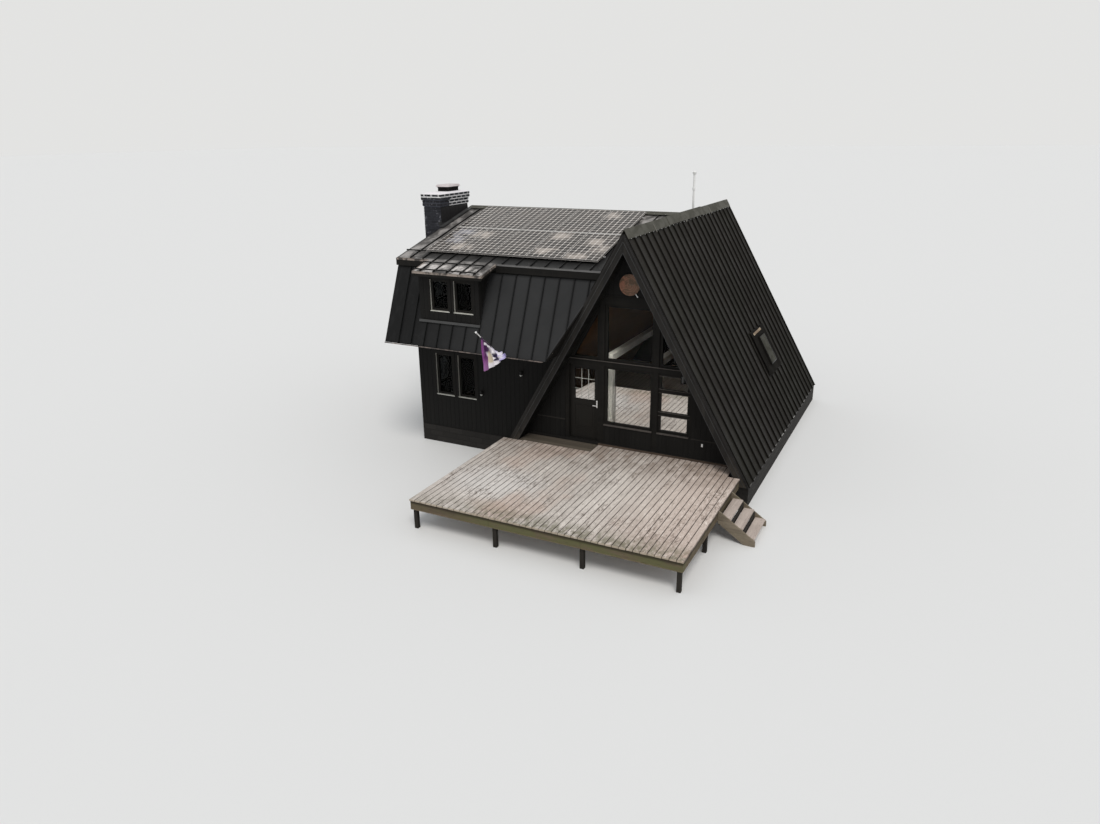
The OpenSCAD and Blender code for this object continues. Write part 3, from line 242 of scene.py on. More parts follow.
def shared(name, inputs, outputs):
    """An empty node group: its bench, its input sockets and a call that joins its outputs.

    An input with a value is a number, and one without is a vector.
    """
    tree = bpy.data.node_groups.new(name, "ShaderNodeTree")
    for label, value in inputs.items():
        kind = "NodeSocketVector" if value is None else "NodeSocketFloat"
        socket = tree.interface.new_socket(name=label, in_out="INPUT", socket_type=kind)
        if value is not None:
            socket.default_value = value
    for label in outputs:
        tree.interface.new_socket(name=label, in_out="OUTPUT", socket_type="NodeSocketFloat")
    given = tree.nodes.new("NodeGroupInput")
    given.location = (-2100, 0)
    result = tree.nodes.new("NodeGroupOutput")
    result.location = (300, 0)

    def deliver(**sockets):
        """Links the group's outputs and hands the finished group over."""
        for label, socket in sockets.items():
            tree.links.new(socket, result.inputs[label])
        return tree

    return Bench(tree), given.outputs, deliver


def make_plank_grain():
    """Long fibres, broad blotches and a few open checks, for a vector stretched along the plank."""
    b, given, deliver = shared("plank_grain", {"Vector": None, "Twist": 0.6}, ["Grain", "Blotch", "Checks"])
    fibre = b.noise(given["Vector"], 9, 7, 0.68, given["Twist"])
    coarse = b.noise(given["Vector"], 2.2, 3, 0.5, given["Twist"])
    grain = b.plus(b.times(fibre, 0.65), b.times(coarse, 0.35))
    blotch = b.noise(given["Vector"], 0.35, 3, 0.55, 0.8)
    checks = b.fade(b.noise(given["Vector"], 5, 2, 0.5, 0.3), 0.66, 0.74)
    return deliver(Grain=b.fade(grain, 0.3, 0.7), Blotch=b.fade(blotch, 0.32, 0.68), Checks=checks)


def make_weather():
    """Rain marks down the surface, soft stains and small specks, in metres."""
    marks = ["Streak", "Stain", "Speck", "Tooth"]
    b, given, deliver = shared("weather", {"Vector": None, "Size": 1.0}, marks)
    scaled = b.add("VectorMath", {0: given["Vector"], 3: given["Size"]}, operation="SCALE").outputs[0]
    long = b.add("Mapping", {"Vector": scaled, "Scale": (9, 9, 0.7)}).outputs[0]
    streak = b.fade(b.noise(long, 1, 4, 0.6, 0.4), 0.42, 0.72)
    stain = b.fade(b.noise(scaled, 0.9, 5, 0.6, 0.7), 0.35, 0.68)
    dots = b.add("TexVoronoi", {"Vector": scaled, "Scale": 9.0, "Randomness": 1.0}).outputs["Distance"]
    speck = b.times(b.fade(dots, 0.16, 0.05), b.fade(b.noise(scaled, 2.2, 2), 0.5, 0.62))
    return deliver(Streak=streak, Stain=stain, Speck=speck, Tooth=b.noise(scaled, 55, 3, 0.6))


def make_pan_shade():
    """How near a point is to the joints of a row of pans or boards, and which side of a pan it is on."""
    inputs = {"Along": 0.0, "Start": 0.0, "Pitch": 0.4, "Width": 0.12}
    b, given, deliver = shared("pan_shade", inputs, ["Seam", "Side"])
    turns = b.maths("DIVIDE", b.less(given["Along"], given["Start"]), given["Pitch"])
    part = b.maths("FRACT", b.plus(turns, 100.0))
    away = b.maths("ABSOLUTE", b.less(part, 0.5))
    edge = b.less(0.5, given["Width"])
    return deliver(Seam=b.fade(away, edge, 0.5), Side=b.fade(part, 0.15, 0.85))


def make_up_facing():
    """1 on faces that look up at the sky, 0 on steep ones."""
    b, given, deliver = shared("up_facing", {"From": 0.6, "To": 0.9}, ["Up"])
    up = b.sides(b.add("TexCoord").outputs["Normal"])["Z"]
    return deliver(Up=b.fade(up, given["From"], given["To"]))


PLANK_GRAIN = make_plank_grain()
WEATHER = make_weather()
PAN_SHADE = make_pan_shade()
UP_FACING = make_up_facing()


def new_finish(name, **fixed):
    """A material with fixed values on its shader, its bench and its shader's input sockets."""
    finish = bpy.data.materials.new(name)
    finish.use_nodes = True
    shader = finish.node_tree.nodes["Principled BSDF"]
    bench = Bench(finish.node_tree)
    bench.feed(shader, {label.replace("_", " "): value for label, value in fixed.items()})
    return finish, bench, shader.inputs


def connect(bench, sockets, colour, rough, height, depth=0.002, strength=0.6):
    """Leads a colour, a roughness and the height of small bumps to the shader."""
    links = bench.tree.links
    links.new(colour, sockets["Base Color"])
    links.new(rough, sockets["Roughness"])
    bump = bench.add("Bump", {"Height": height, "Distance": depth, "Strength": strength})
    links.new(bump.outputs[0], sockets["Normal"])


def shade(colour, factor):
    """A darker or paler colour of the same hue."""
    return tuple(c * factor for c in colour)


# Wood

LENGTHWAYS = {"x": (0.9, 14, 14), "y": (14, 0.9, 14), "z": (14, 14, 0.9)}
MOSS = (0.05, 0.065, 0.02)
BLACK_EDGE = (0.012, 0.011, 0.010)

# Pale and brown patches of the deck: x, y, half width, half depth, tone
DECK_PATCHES = [(-2.1, -3.2, 1.3, 0.9, (0.86, 0.84, 0.82)), (-1.5, -4.35, 0.55, 0.30, (0.50, 0.38, 0.30))]


def fibres(b, along):
    """Grain, blotches and checks of wood that is laid along an axis."""
    return b.group(PLANK_GRAIN, Vector=b.place(LENGTHWAYS[along]))


def figured(b, wood, dark, pale):
    """Colour of bare wood, from its grain and its blotches."""
    return b.tint(b.plus(b.times(wood["Grain"], 0.6), b.times(wood["Blotch"], 0.4)), dark, pale)


def relief(b, wood):
    """Height of the grain, with the checks sunk in it."""
    return b.less(wood["Grain"], b.times(wood["Checks"], 1.6))


def planks(name, pale, dark, along, rough, islands=True, spread=0.5, green=0.0):
    """Bare boards: grain along one axis, each board a little different, worn and blotched."""
    finish, b, out = new_finish(name, Specular_IOR_Level=0.2)
    wood = fibres(b, along)
    tone = figured(b, wood, dark, pale)
    if islands:
        tone = b.tint(spread, tone, b.tint(b.each(), shade(dark, 0.9), shade(pale, 1.12)))
    tone = b.tint(b.times(b.group(WEATHER, Vector=b.place())["Stain"], 0.35), tone, shade(dark, 0.85))
    tone = b.tint(b.times(wood["Checks"], 0.7), tone, shade(dark, 0.35))
    if green:
        grown = b.fade(b.noise(b.place(), 2.6, 5, 0.65, 0.5), 0.42, 0.66)
        tone = b.tint(b.times(grown, green), tone, MOSS)
    connect(b, out, tone, b.plus(b.times(wood["Grain"], 0.18), rough - 0.09), relief(b, wood), 0.0025)
    return finish


def deck_wood(name, pale, dark):
    """Silvered deck boards: streaked, dirty and darkened by painted shade along the gaps, brown by the wall,
    mossy at the front.
    """
    finish, b, out = new_finish(name, Specular_IOR_Level=0.15)
    spot, drawn = b.place(), b.place((1.0, 0.5, 1.0))
    sides = b.sides(spot)
    wood = fibres(b, "y")
    tone = b.tint(b.plus(b.times(wood["Grain"], 0.7), b.times(b.each(), 0.3)), dark, pale)
    fine = b.noise(b.place((1.0, 0.32, 1.0)), 24, 6, 0.80)
    broad = b.noise(b.place((1.0, 0.7, 1.0)), 0.60, 3, 0.5)
    tone = b.tint(b.fade(broad, 0.50, 0.66, 0.0, 0.4), tone, shade(pale, 1.15))
    for x, y, wide, deep, patch in DECK_PATCHES:
        away = b.plus(b.reach(spot, x, y, wide, deep), b.times(fine, 0.6))
        tone = b.tint(b.fade(away, 1.6, 0.7, 0.0, 0.42), tone, patch)
    rosy = b.times(b.fade(sides["X"], 0.2, 2.6), 0.45)
    rosy = b.maths("ADD", rosy, b.fade(broad, 0.48, 0.36, 0.0, 0.45), clamp=True)
    tone = b.tint(rosy, tone, (0.56, 0.40, 0.32))
    tone = b.tint(b.fade(fine, 0.46, 0.34, 0.0, 0.6), tone, shade(pale, 1.3))
    dirt = b.plus(fine, b.fade(b.noise(drawn, 2.3, 3, 0.6), 0.40, 0.70, -0.06, 0.06))
    tone = b.tint(b.fade(dirt, 0.52, 0.66, 0.0, 0.8), tone, (0.16, 0.122, 0.098))
    moss = b.times(b.fade(sides["Y"], -4.10, -4.74), b.fade(b.noise(drawn, 7, 5, 0.75), 0.36, 0.58))
    moss = b.times(moss, b.fade(sides["X"], -2.9, -0.6, 0.45, 1.0))
    tone = b.tint(b.times(moss, 0.72), tone, (0.155, 0.150, 0.092))
    damp = b.times(b.fade(sides["Y"], -2.1, -0.5), b.fade(b.noise(drawn, 3.4, 5, 0.7), 0.30, 0.60))
    tone = b.tint(b.times(damp, 0.66), tone, (0.20, 0.145, 0.11))
    # Dirt and painted shade along the gaps between the boards.
    start = DECK_WEST - DECK_GAP / 2
    gap = b.group(PAN_SHADE, Along=sides["X"], Start=start, Pitch=DECK_PITCH, Width=0.13)["Seam"]
    gap_dirt_and_shade = b.times(gap, b.fade(b.noise(drawn, 7, 3, 0.6), 0.36, 0.58, 0.65, 1.0))
    tone = b.tint(gap_dirt_and_shade, tone, (0.052, 0.040, 0.032))
    ends = b.fade(sides["Y"], DECK_FRONT + 0.010, DECK_FRONT + 0.004, 0.0, 0.75)
    tone = b.tint(ends, tone, (0.40, 0.33, 0.25))
    tone = b.tint(b.times(wood["Checks"], 0.6), tone, shade(dark, 0.3))
    connect(b, out, tone, b.fade(wood["Grain"], 0, 1, 0.66, 0.84), relief(b, wood), 0.0025)
    return finish


def rim_wood(name, pale, dark, moss):
    """Rim of the deck: painted shadow under the boards' ends, mossy along the front, brown by its west
    corner.
    """
    finish, b, out = new_finish(name, Specular_IOR_Level=0.2)
    sides = b.sides(b.place())
    wood = fibres(b, "x")
    tone = figured(b, wood, dark, pale)
    front = b.times(b.fade(sides["X"], -3.1, -1.0, 0.25, 1.0), b.fade(sides["Y"], -4.60, -4.80, 0.2, 1.0))
    grown = b.fade(b.noise(b.place((0.7, 1.0, 1.8)), 3.0, 5, 0.7), 0.34, 0.58)
    tone = b.tint(b.times(b.times(grown, front), 0.8), tone, moss)
    # Painted shadow of the deck boards over the rim's top.
    tone = b.tint(b.fade(sides["Z"], 0.600, 0.655, 0.0, 0.75), tone, shade(dark, 0.35))
    tone = b.tint(b.fade(sides["Z"], 0.505, 0.490, 0.0, 0.5), tone, shade(pale, 1.2))
    tone = b.tint(b.times(wood["Checks"], 0.7), tone, shade(dark, 0.3))
    connect(b, out, tone, b.fade(wood["Grain"], 0, 1, 0.7, 0.88), relief(b, wood), 0.0025)
    return finish


def paint(name, colour, worn, along="z", rough=0.5, wear=0.25, specular=0.08, splash=0.0):
    """Paint on wood: the grain shows through, with rain marks, thin patches and mud splashed up."""
    finish, b, out = new_finish(name, Specular_IOR_Level=specular)
    wood = fibres(b, along)
    wet = b.group(WEATHER, Vector=b.place())
    thin = b.times(b.plus(wet["Streak"], wood["Blotch"]), wear)
    tone = b.tint(thin, colour, worn)
    tone = b.tint(b.times(wood["Checks"], 0.4), tone, shade(worn, 1.3))
    tone = b.tint(b.times(wet["Speck"], 0.25), tone, shade(worn, 2.2))
    if splash:
        level = b.plus(b.sides(b.place())["Z"], b.noise(b.place(), 4, 4, 0.6))
        tone = b.tint(b.fade(level, 1.75, 1.05, 0.0, splash), tone, (0.085, 0.073, 0.058))
    height = b.plus(wood["Grain"], b.times(wet["Tooth"], 0.4))
    connect(b, out, tone, b.plus(b.times(thin, 0.5), rough), height, 0.0012)
    return finish


def lined_slab(name, pine_pale, pine_dark, black, room):
    """Pine boards on the faces that look down into the room, and black paint outside it."""
    finish, b, out = new_finish(name, Specular_IOR_Level=0.15)
    wood = fibres(b, "y")
    sides = b.sides(b.place())
    looks_up = b.sides(b.add("TexCoord").outputs["Normal"])["Z"]
    inside = b.maths("LESS_THAN", looks_up, -0.3)
    for axis, (low, high) in room.items():
        between = b.times(b.maths("GREATER_THAN", sides[axis], low), b.maths("LESS_THAN", sides[axis], high))
        inside = b.times(inside, between)
    lap = b.group(PAN_SHADE, Along=sides["Z"], Start=0.0, Pitch=0.12, Width=0.05)["Seam"]
    lining = b.tint(b.times(lap, 0.7), figured(b, wood, pine_dark, pine_pale), shade(pine_dark, 0.3))
    painted = b.tint(wood["Blotch"], shade(black, 0.8), shade(black, 1.6))
    tone = b.tint(inside, painted, lining)
    connect(b, out, tone, b.fade(wood["Grain"], 0, 1, 0.5, 0.7), b.less(wood["Grain"], lap))
    return finish


def inner_floor(name, pale, dark):
    """Worn floor boards on top, laid front to back, and black edges."""
    finish, b, out = new_finish(name, Specular_IOR_Level=0.3)
    wood = fibres(b, "y")
    lap = b.group(PAN_SHADE, Along=b.sides(b.place())["X"], Start=0.0, Pitch=0.14, Width=0.06)["Seam"]
    laid = b.tint(b.times(lap, 0.85), figured(b, wood, dark, pale), shade(dark, 0.25))
    tone = b.tint(b.group(UP_FACING)["Up"], BLACK_EDGE, laid)
    connect(b, out, tone, b.fade(wood["Grain"], 0, 1, 0.35, 0.55), b.less(wood["Grain"], lap))
    return finish


def round_wood(name):
    """End of a round: rings out from its middle, with drying checks."""
    finish, b, out = new_finish(name, Specular_IOR_Level=0.35)
    start = b.add("TexCoord").outputs["Object"]
    spot = b.add("Mapping", {"Vector": start, "Location": (0.02, 0, -4.945)}).outputs[0]
    inputs = {"Vector": spot, "Scale": 9.0, "Distortion": 3.0, "Detail": 3.0, "Detail Scale": 1.6}
    rings = b.add("TexWave", inputs, wave_type="RINGS", rings_direction="SPHERICAL").outputs["Fac"]
    tone = b.tint(rings, (0.135, 0.068, 0.042), (0.24, 0.130, 0.080))
    left = b.fade(b.sides(start)["X"], -0.02, -0.20, 0.0, 0.55)
    tone = b.tint(left, tone, (0.30, 0.115, 0.070))
    blotch = b.fade(b.noise(spot, 8, 4, 0.65, 0.6), 0.45, 0.60)
    tone = b.tint(b.times(blotch, 0.7), tone, (0.060, 0.048, 0.026))
    connect(b, out, tone, b.fade(rings, 0, 1, 0.5, 0.7), rings)
    return finish


# Metal


def wing_tones(b, spot, steep, flat):
    """Tones of the wing's sheets, steep and flat, and a mask of where the flat ones stay dark."""
    sides = b.sides(spot)
    low = b.tint(b.fade(sides["X"], -6.3, -2.6), shade(steep, 0.44), shade(steep, 1.82))
    # Painted glare: pale blotches of sky glare and sun on the flat sheets, weaker at the west edge.
    painted_glare = b.fade(b.noise(b.place((1.25, 0.8, 1.0)), 2.4, 6, 0.66, 0.5), 0.43, 0.62)
    painted_glare = b.times(painted_glare, b.fade(sides["X"], -6.05, -5.75, 0.62, 1.0))
    high = b.tint(painted_glare, shade(flat, 0.34), shade(flat, 2.3))
    # More painted glare at the front, on the dormers' roofs.
    eave = b.times(b.fade(sides["Y"], -0.36, -0.50), b.times(painted_glare, 0.75))
    high = b.tint(eave, high, shade(flat, 3.3))
    # Behind the ridge, most of the painted glare is taken back off.
    high = b.tint(b.fade(sides["Y"], 3.40, 3.60, 0.0, 0.62), high, shade(flat, 0.95))
    # Painted shade of the array: the row of pans in front of it darker, and a painted shadow just under its
    # front edge.
    array_wide = b.fade(sides["X"], -5.93, -5.83)
    array_shade_margin = b.times(array_wide, b.band(sides["Y"], -0.67, -0.64, 0.2, 0.8))
    high = b.tint(b.times(array_shade_margin, 0.65), high, shade(flat, 0.5))
    array_painted_shadow = b.times(array_wide, b.band(sides["Y"], -0.38, -0.30, 0.2, 0.8))
    # Darker strip east of the dormers, in front of and under the array.
    dark_east_strip = b.times(b.fade(sides["X"], -3.62, -3.42), b.fade(sides["Y"], 3.2, 1.4))
    high = b.tint(b.times(dark_east_strip, 0.95), high, shade(steep, 1.1))
    return low, high, b.maths("MAXIMUM", b.times(array_painted_shadow, 0.85), b.times(dark_east_strip, 0.75))


def cabin_tones(b, spot, steep, flat):
    """Tones of the cabin's sheets: darker to the back and down by the eaves, paler by the ridge."""
    sides = b.sides(spot)
    low = b.tint(b.fade(sides["Y"], 0.5, 6.5), steep, shade(steep, 0.50))
    low = b.tint(b.fade(sides["Z"], 3.9, 1.4), low, b.tint(0.5, low, shade(steep, 0.40)))
    low = b.tint(b.fade(sides["Z"], 3.6, 6.2), low, b.tint(0.5, low, shade(steep, 1.9)))
    hue = b.fade(b.noise(spot, 0.45, 3, 0.5, 0.5), 0.35, 0.65)
    red, green, blue = steep
    mottled = b.tint(hue, (red * 1.12, green * 0.92, blue * 1.05), (red * 0.95, green * 1.08, blue * 0.85))
    return b.tint(0.35, low, mottled), flat, None


def sheet_metal(name, steep, flat, tones, across, start, pitch, specular, seam_dirt_and_shade, rough=0.42, seam=0.12,
                painted_side_light=0.0):
    """Coated roof sheet: its own tones, dirt and painted shade by the seams, painted light on one side of
    each pan, rain marks, stains and faint dents.
    """
    finish, b, out = new_finish(name, Specular_IOR_Level=specular)
    spot = b.place()
    wet = b.group(WEATHER, Vector=spot)
    pan = b.group(PAN_SHADE, Along=b.sides(spot)[across], Start=start, Pitch=pitch, Width=seam)
    up = b.group(UP_FACING)["Up"]
    low, high, dark = tones(b, spot, steep, flat)
    tone = b.tint(up, low, high)
    tone = b.tint(b.times(wet["Streak"], 0.28), tone, b.tint(up, shade(steep, 1.6), shade(flat, 0.72)))
    tone = b.tint(b.times(wet["Stain"], 0.20), tone, b.tint(up, shade(steep, 0.6), shade(flat, 0.7)))
    # On the wing this paints the array's shadow and keeps the strip east of the dormers dark.
    if dark:
        tone = b.tint(b.times(up, dark), tone, shade(steep, 0.95))
    # Painted light: each pan paler towards one of its seams.
    if painted_side_light:
        tone = b.tint(b.times(pan["Side"], painted_side_light), tone, shade(steep, 2.2))
    # Dirt and painted shade by the seams.
    tone = b.tint(b.times(pan["Seam"], seam_dirt_and_shade), tone, shade(steep, 0.45))
    tone = b.tint(b.times(wet["Speck"], 0.3), tone, b.tint(up, shade(steep, 3), shade(flat, 1.3)))
    dents = b.plus(b.noise(spot, 1.7, 2, 0.5), b.times(wet["Tooth"], 0.04))
    connect(b, out, tone, b.plus(b.times(wet["Stain"], 0.18), rough), dents, 0.006, 0.35)
    return finish


def plain_metal(name, colour, rough, metallic=0.0, specular=0.5, dull=0.6):
    """Small metal parts: a dull film over the coat or the bare metal."""
    finish, b, out = new_finish(name, Metallic=metallic, Specular_IOR_Level=specular)
    wet = b.group(WEATHER, Vector=b.place(), Size=3.0)
    tone = b.tint(b.times(wet["Stain"], dull), colour, shade(colour, 0.6))
    tone = b.tint(b.times(wet["Streak"], 0.4), tone, shade(colour, 0.75))
    tone = b.tint(b.times(wet["Speck"], 0.3), tone, shade(colour, 1.25))
    connect(b, out, tone, b.plus(b.times(wet["Stain"], 0.2), rough - 0.05), wet["Tooth"], 0.001, 0.4)
    return finish


def chipped_metal(name, pale, dark):
    """Edge strips whose pale coat has gone in patches."""
    finish, b, out = new_finish(name, Specular_IOR_Level=0.3)
    gone = b.fade(b.noise(b.place((1.0, 0.6, 0.6)), 3.4, 5, 0.7), 0.44, 0.57)
    tooth = b.noise(b.place(), 55, 2)
    connect(b, out, b.tint(gone, pale, dark), b.fade(gone, 0, 1, 0.4, 0.55), tooth, 0.0008, 0.4)
    return finish


def worn_hem(name, coated, bare):
    """Short folded hems, a few of them worn down to bare metal."""
    finish, b, out = new_finish(name, Specular_IOR_Level=0.3)
    own = b.each()
    rubbed = b.times(b.fade(own, 0.35, 0.75), b.fade(b.noise(b.place(), 6, 3, 0.6), 0.36, 0.56))
    tooth = b.noise(b.place(), 60, 2)
    connect(b, out, b.tint(rubbed, coated, bare), b.fade(own, 0, 1, 0.4, 0.55), tooth, 0.0008, 0.4)
    return finish


def capped_metal(name, top, under):
    """Pale on faces that look up, dark on the sides and below, with stains over both."""
    finish, b, out = new_finish(name, Specular_IOR_Level=0.3)
    wet = b.group(WEATHER, Vector=b.place(), Size=3.0)
    up = b.group(UP_FACING)["Up"]
    soot = b.tint(up, shade(under, 0.6), shade(top, 0.7))
    tone = b.tint(b.times(wet["Stain"], 0.45), b.tint(up, under, top), soot)
    connect(b, out, tone, b.plus(b.times(wet["Stain"], 0.2), 0.42), wet["Tooth"], 0.001, 0.4)
    return finish


# Glass, solar cells, bricks and cloth

FILM_TONE, FILM_COVER = (0.95, 0.945, 0.93), 0.82
# Warm and cool tones of the painted glare on the modules.
WARM_GLARE, COOL_GLARE = (0.68, 0.60, 0.53), (0.50, 0.50, 0.55)

# Patches of painted glare on the modules' glass: x, y, half width, tone
GLARE_PATCHES = [(-4.78, 1.12, 0.50, WARM_GLARE), (-4.92, 0.28, 0.46, WARM_GLARE), (-5.45, 1.25, 0.52, COOL_GLARE),
         (-5.35, 0.72, 0.42, COOL_GLARE), (-2.52, 1.30, 0.62, WARM_GLARE), (-2.48, 0.34, 0.50, WARM_GLARE),
         (-1.40, 1.02, 0.42, WARM_GLARE), (-1.50, 0.16, 0.46, WARM_GLARE), (-1.02, 0.60, 0.40, WARM_GLARE),
         (-1.70, 2.85, 0.46, WARM_GLARE)]


def mirror_film(name, door=False):
    """Thin sun film on the panes: it mirrors the deck, and thins out where the room shows through."""
    finish, b, out = new_finish(name, Metallic=1.0)
    film = b.fade(b.noise(b.place(), 1.7, 4, 0.6, 0.4), 0.3, 0.75)
    sides = b.sides(b.place())
    if door:
        slant = b.fade(sides["X"], DOOR_LIGHTS[0], DOOR_LIGHTS[1], 2.115, 2.375)
        shown = b.fade(b.less(slant, sides["Z"]), 0.0, 0.03)
    else:
        shown = b.fade(sides["X"], -0.365, -0.335, 0.12, 1.0)
    tone = b.tint(film, FILM_TONE, shade(FILM_TONE, 0.9))
    connect(b, out, tone, b.fade(film, 0.0, 1.0, 0.02, 0.05), b.noise(b.place(), 2.2, 1), 0.0006, 0.2)
    cover = b.fade(film, 0.0, 1.0, FILM_COVER, FILM_COVER * 0.9)
    b.tree.links.new(b.times(cover, shown), out["Alpha"])
    return finish


def glazing(name, colour):
    """Clear panes that let the lamps in."""
    finish, b, out = new_finish(name, Roughness=0.02, Transmission_Weight=1.0, IOR=1.13)
    spot = b.place()
    film = b.fade(b.noise(spot, 1.3, 4, 0.6, 0.4), 0.35, 0.75)
    tone = b.tint(b.times(film, 0.35), colour, shade(colour, 0.86))
    connect(b, out, tone, b.fade(film, 0.0, 1.0, 0.012, 0.04), b.noise(spot, 2.4, 1), 0.0012, 0.25)
    nodes = b.tree.nodes
    clear = b.add("BsdfTransparent", {"Color": (0.9, 0.92, 0.9)}).outputs[0]
    in_shadow = b.add("LightPath").outputs["Is Shadow Ray"]
    mix = b.add("MixShader", {0: in_shadow, 1: nodes["Principled BSDF"].outputs[0], 2: clear})
    b.tree.links.new(mix.outputs[0], nodes["Material Output"].inputs["Surface"])
    return finish


def bricks(name, colour, fleck, flecks):
    """Painted brick faces, each a little different, flecked where the paint has gone."""
    finish, b, out = new_finish(name, Specular_IOR_Level=0.25)
    spot = b.place()
    worn = b.fade(b.noise(spot, 15, 4, 0.62), 0.56, 0.64)
    gone = b.times(worn, b.fade(b.noise(spot, 1.7, 3, 0.5), 0.42, 0.56))
    tone = b.tint(b.times(gone, flecks), b.tint(b.each(), shade(colour, 0.7), shade(colour, 1.5)), fleck)
    grit = b.noise(spot, 90, 5, 0.7)
    connect(b, out, tone, b.fade(grit, 0, 1, 0.6, 0.9), b.plus(grit, worn), 0.003)
    return finish


def mortar(name, painted, bare):
    """Mortar that is painted over, apart from the top course and most of the crown's side by the roof."""
    finish, b, out = new_finish(name, Specular_IOR_Level=0.2)
    spot = b.place()
    sides = b.sides(spot)
    ragged = b.times(b.noise(spot, 9, 3), 0.06)
    top = b.fade(b.plus(sides["Z"], ragged), 6.665, 6.690)
    side = b.times(b.fade(sides["X"], -6.600, -6.590), b.fade(b.plus(sides["Y"], ragged), 2.22, 2.27))
    side = b.times(side, b.fade(sides["Z"], 6.400, 6.404))
    tone = b.tint(b.maths("MAXIMUM", top, side), painted, bare)
    grit = b.noise(spot, 70, 6, 0.7)
    tone = b.tint(b.fade(grit, 0.35, 0.7, 0, 0.30), tone, shade(painted, 1.2))
    connect(b, out, tone, b.fade(grit, 0, 1, 0.7, 0.95), grit, 0.003)
    return finish


def stonework(name, colour, joint):
    """Rough footing of squared stones laid in courses."""
    finish, b, out = new_finish(name, Specular_IOR_Level=0.2)
    spot = b.place()
    sides = b.sides(spot)
    flat = b.add("CombineXYZ", {0: b.plus(sides["X"], sides["Y"]), 1: sides["Z"]}).outputs[0]
    course = b.add("TexBrick", {"Vector": flat, "Color1": shade(colour, 0.75), "Color2": shade(colour, 1.25),
                                "Mortar": joint, "Scale": 1.0, "Mortar Size": 0.008, "Brick Width": 0.44,
                                "Row Height": 0.163}).outputs
    grit = b.noise(spot, 30, 6, 0.7)
    tone = b.tint(b.fade(grit, 0.3, 0.7, 0, 0.5), course["Color"], shade(colour, 0.5))
    raised = b.less(grit, b.times(course["Fac"], 1.5))
    connect(b, out, tone, b.fade(grit, 0, 1, 0.7, 0.95), raised, 0.006)
    return finish


def cell_face(name):
    """Blue-black silicon with thin silver lines, and patches of painted glare on its glass."""
    finish, b, out = new_finish(name, Specular_IOR_Level=0.12)
    spot = b.place()
    tone = b.tint(b.each(), (0.015, 0.013, 0.012), (0.040, 0.033, 0.029))
    lines = b.group(PAN_SHADE, Along=b.sides(spot)["X"], Start=ARRAY_WEST, Pitch=0.052, Width=0.030)["Seam"]
    tone = b.tint(b.times(lines, 0.5), tone, (0.45, 0.45, 0.45))
    film = b.fade(b.noise(spot, 0.9, 4, 0.55, 0.5), 0.40, 0.70)
    tone = b.tint(b.times(film, 0.08), tone, (0.42, 0.37, 0.33))
    ragged = b.times(b.noise(spot, 2.9, 6, 0.72, 1.0), 2.2)
    for x, y, wide, glare_tone in GLARE_PATCHES:
        patch = b.fade(b.plus(b.reach(spot, x, y, wide, 1 / 2.6), ragged), 1.95, 1.15)
        tone = b.tint(b.times(patch, 0.55), tone, glare_tone)
    connect(b, out, tone, b.fade(film, 0, 1, 0.16, 0.34), b.noise(spot, 60, 2), 0.0004, 0.3)
    return finish


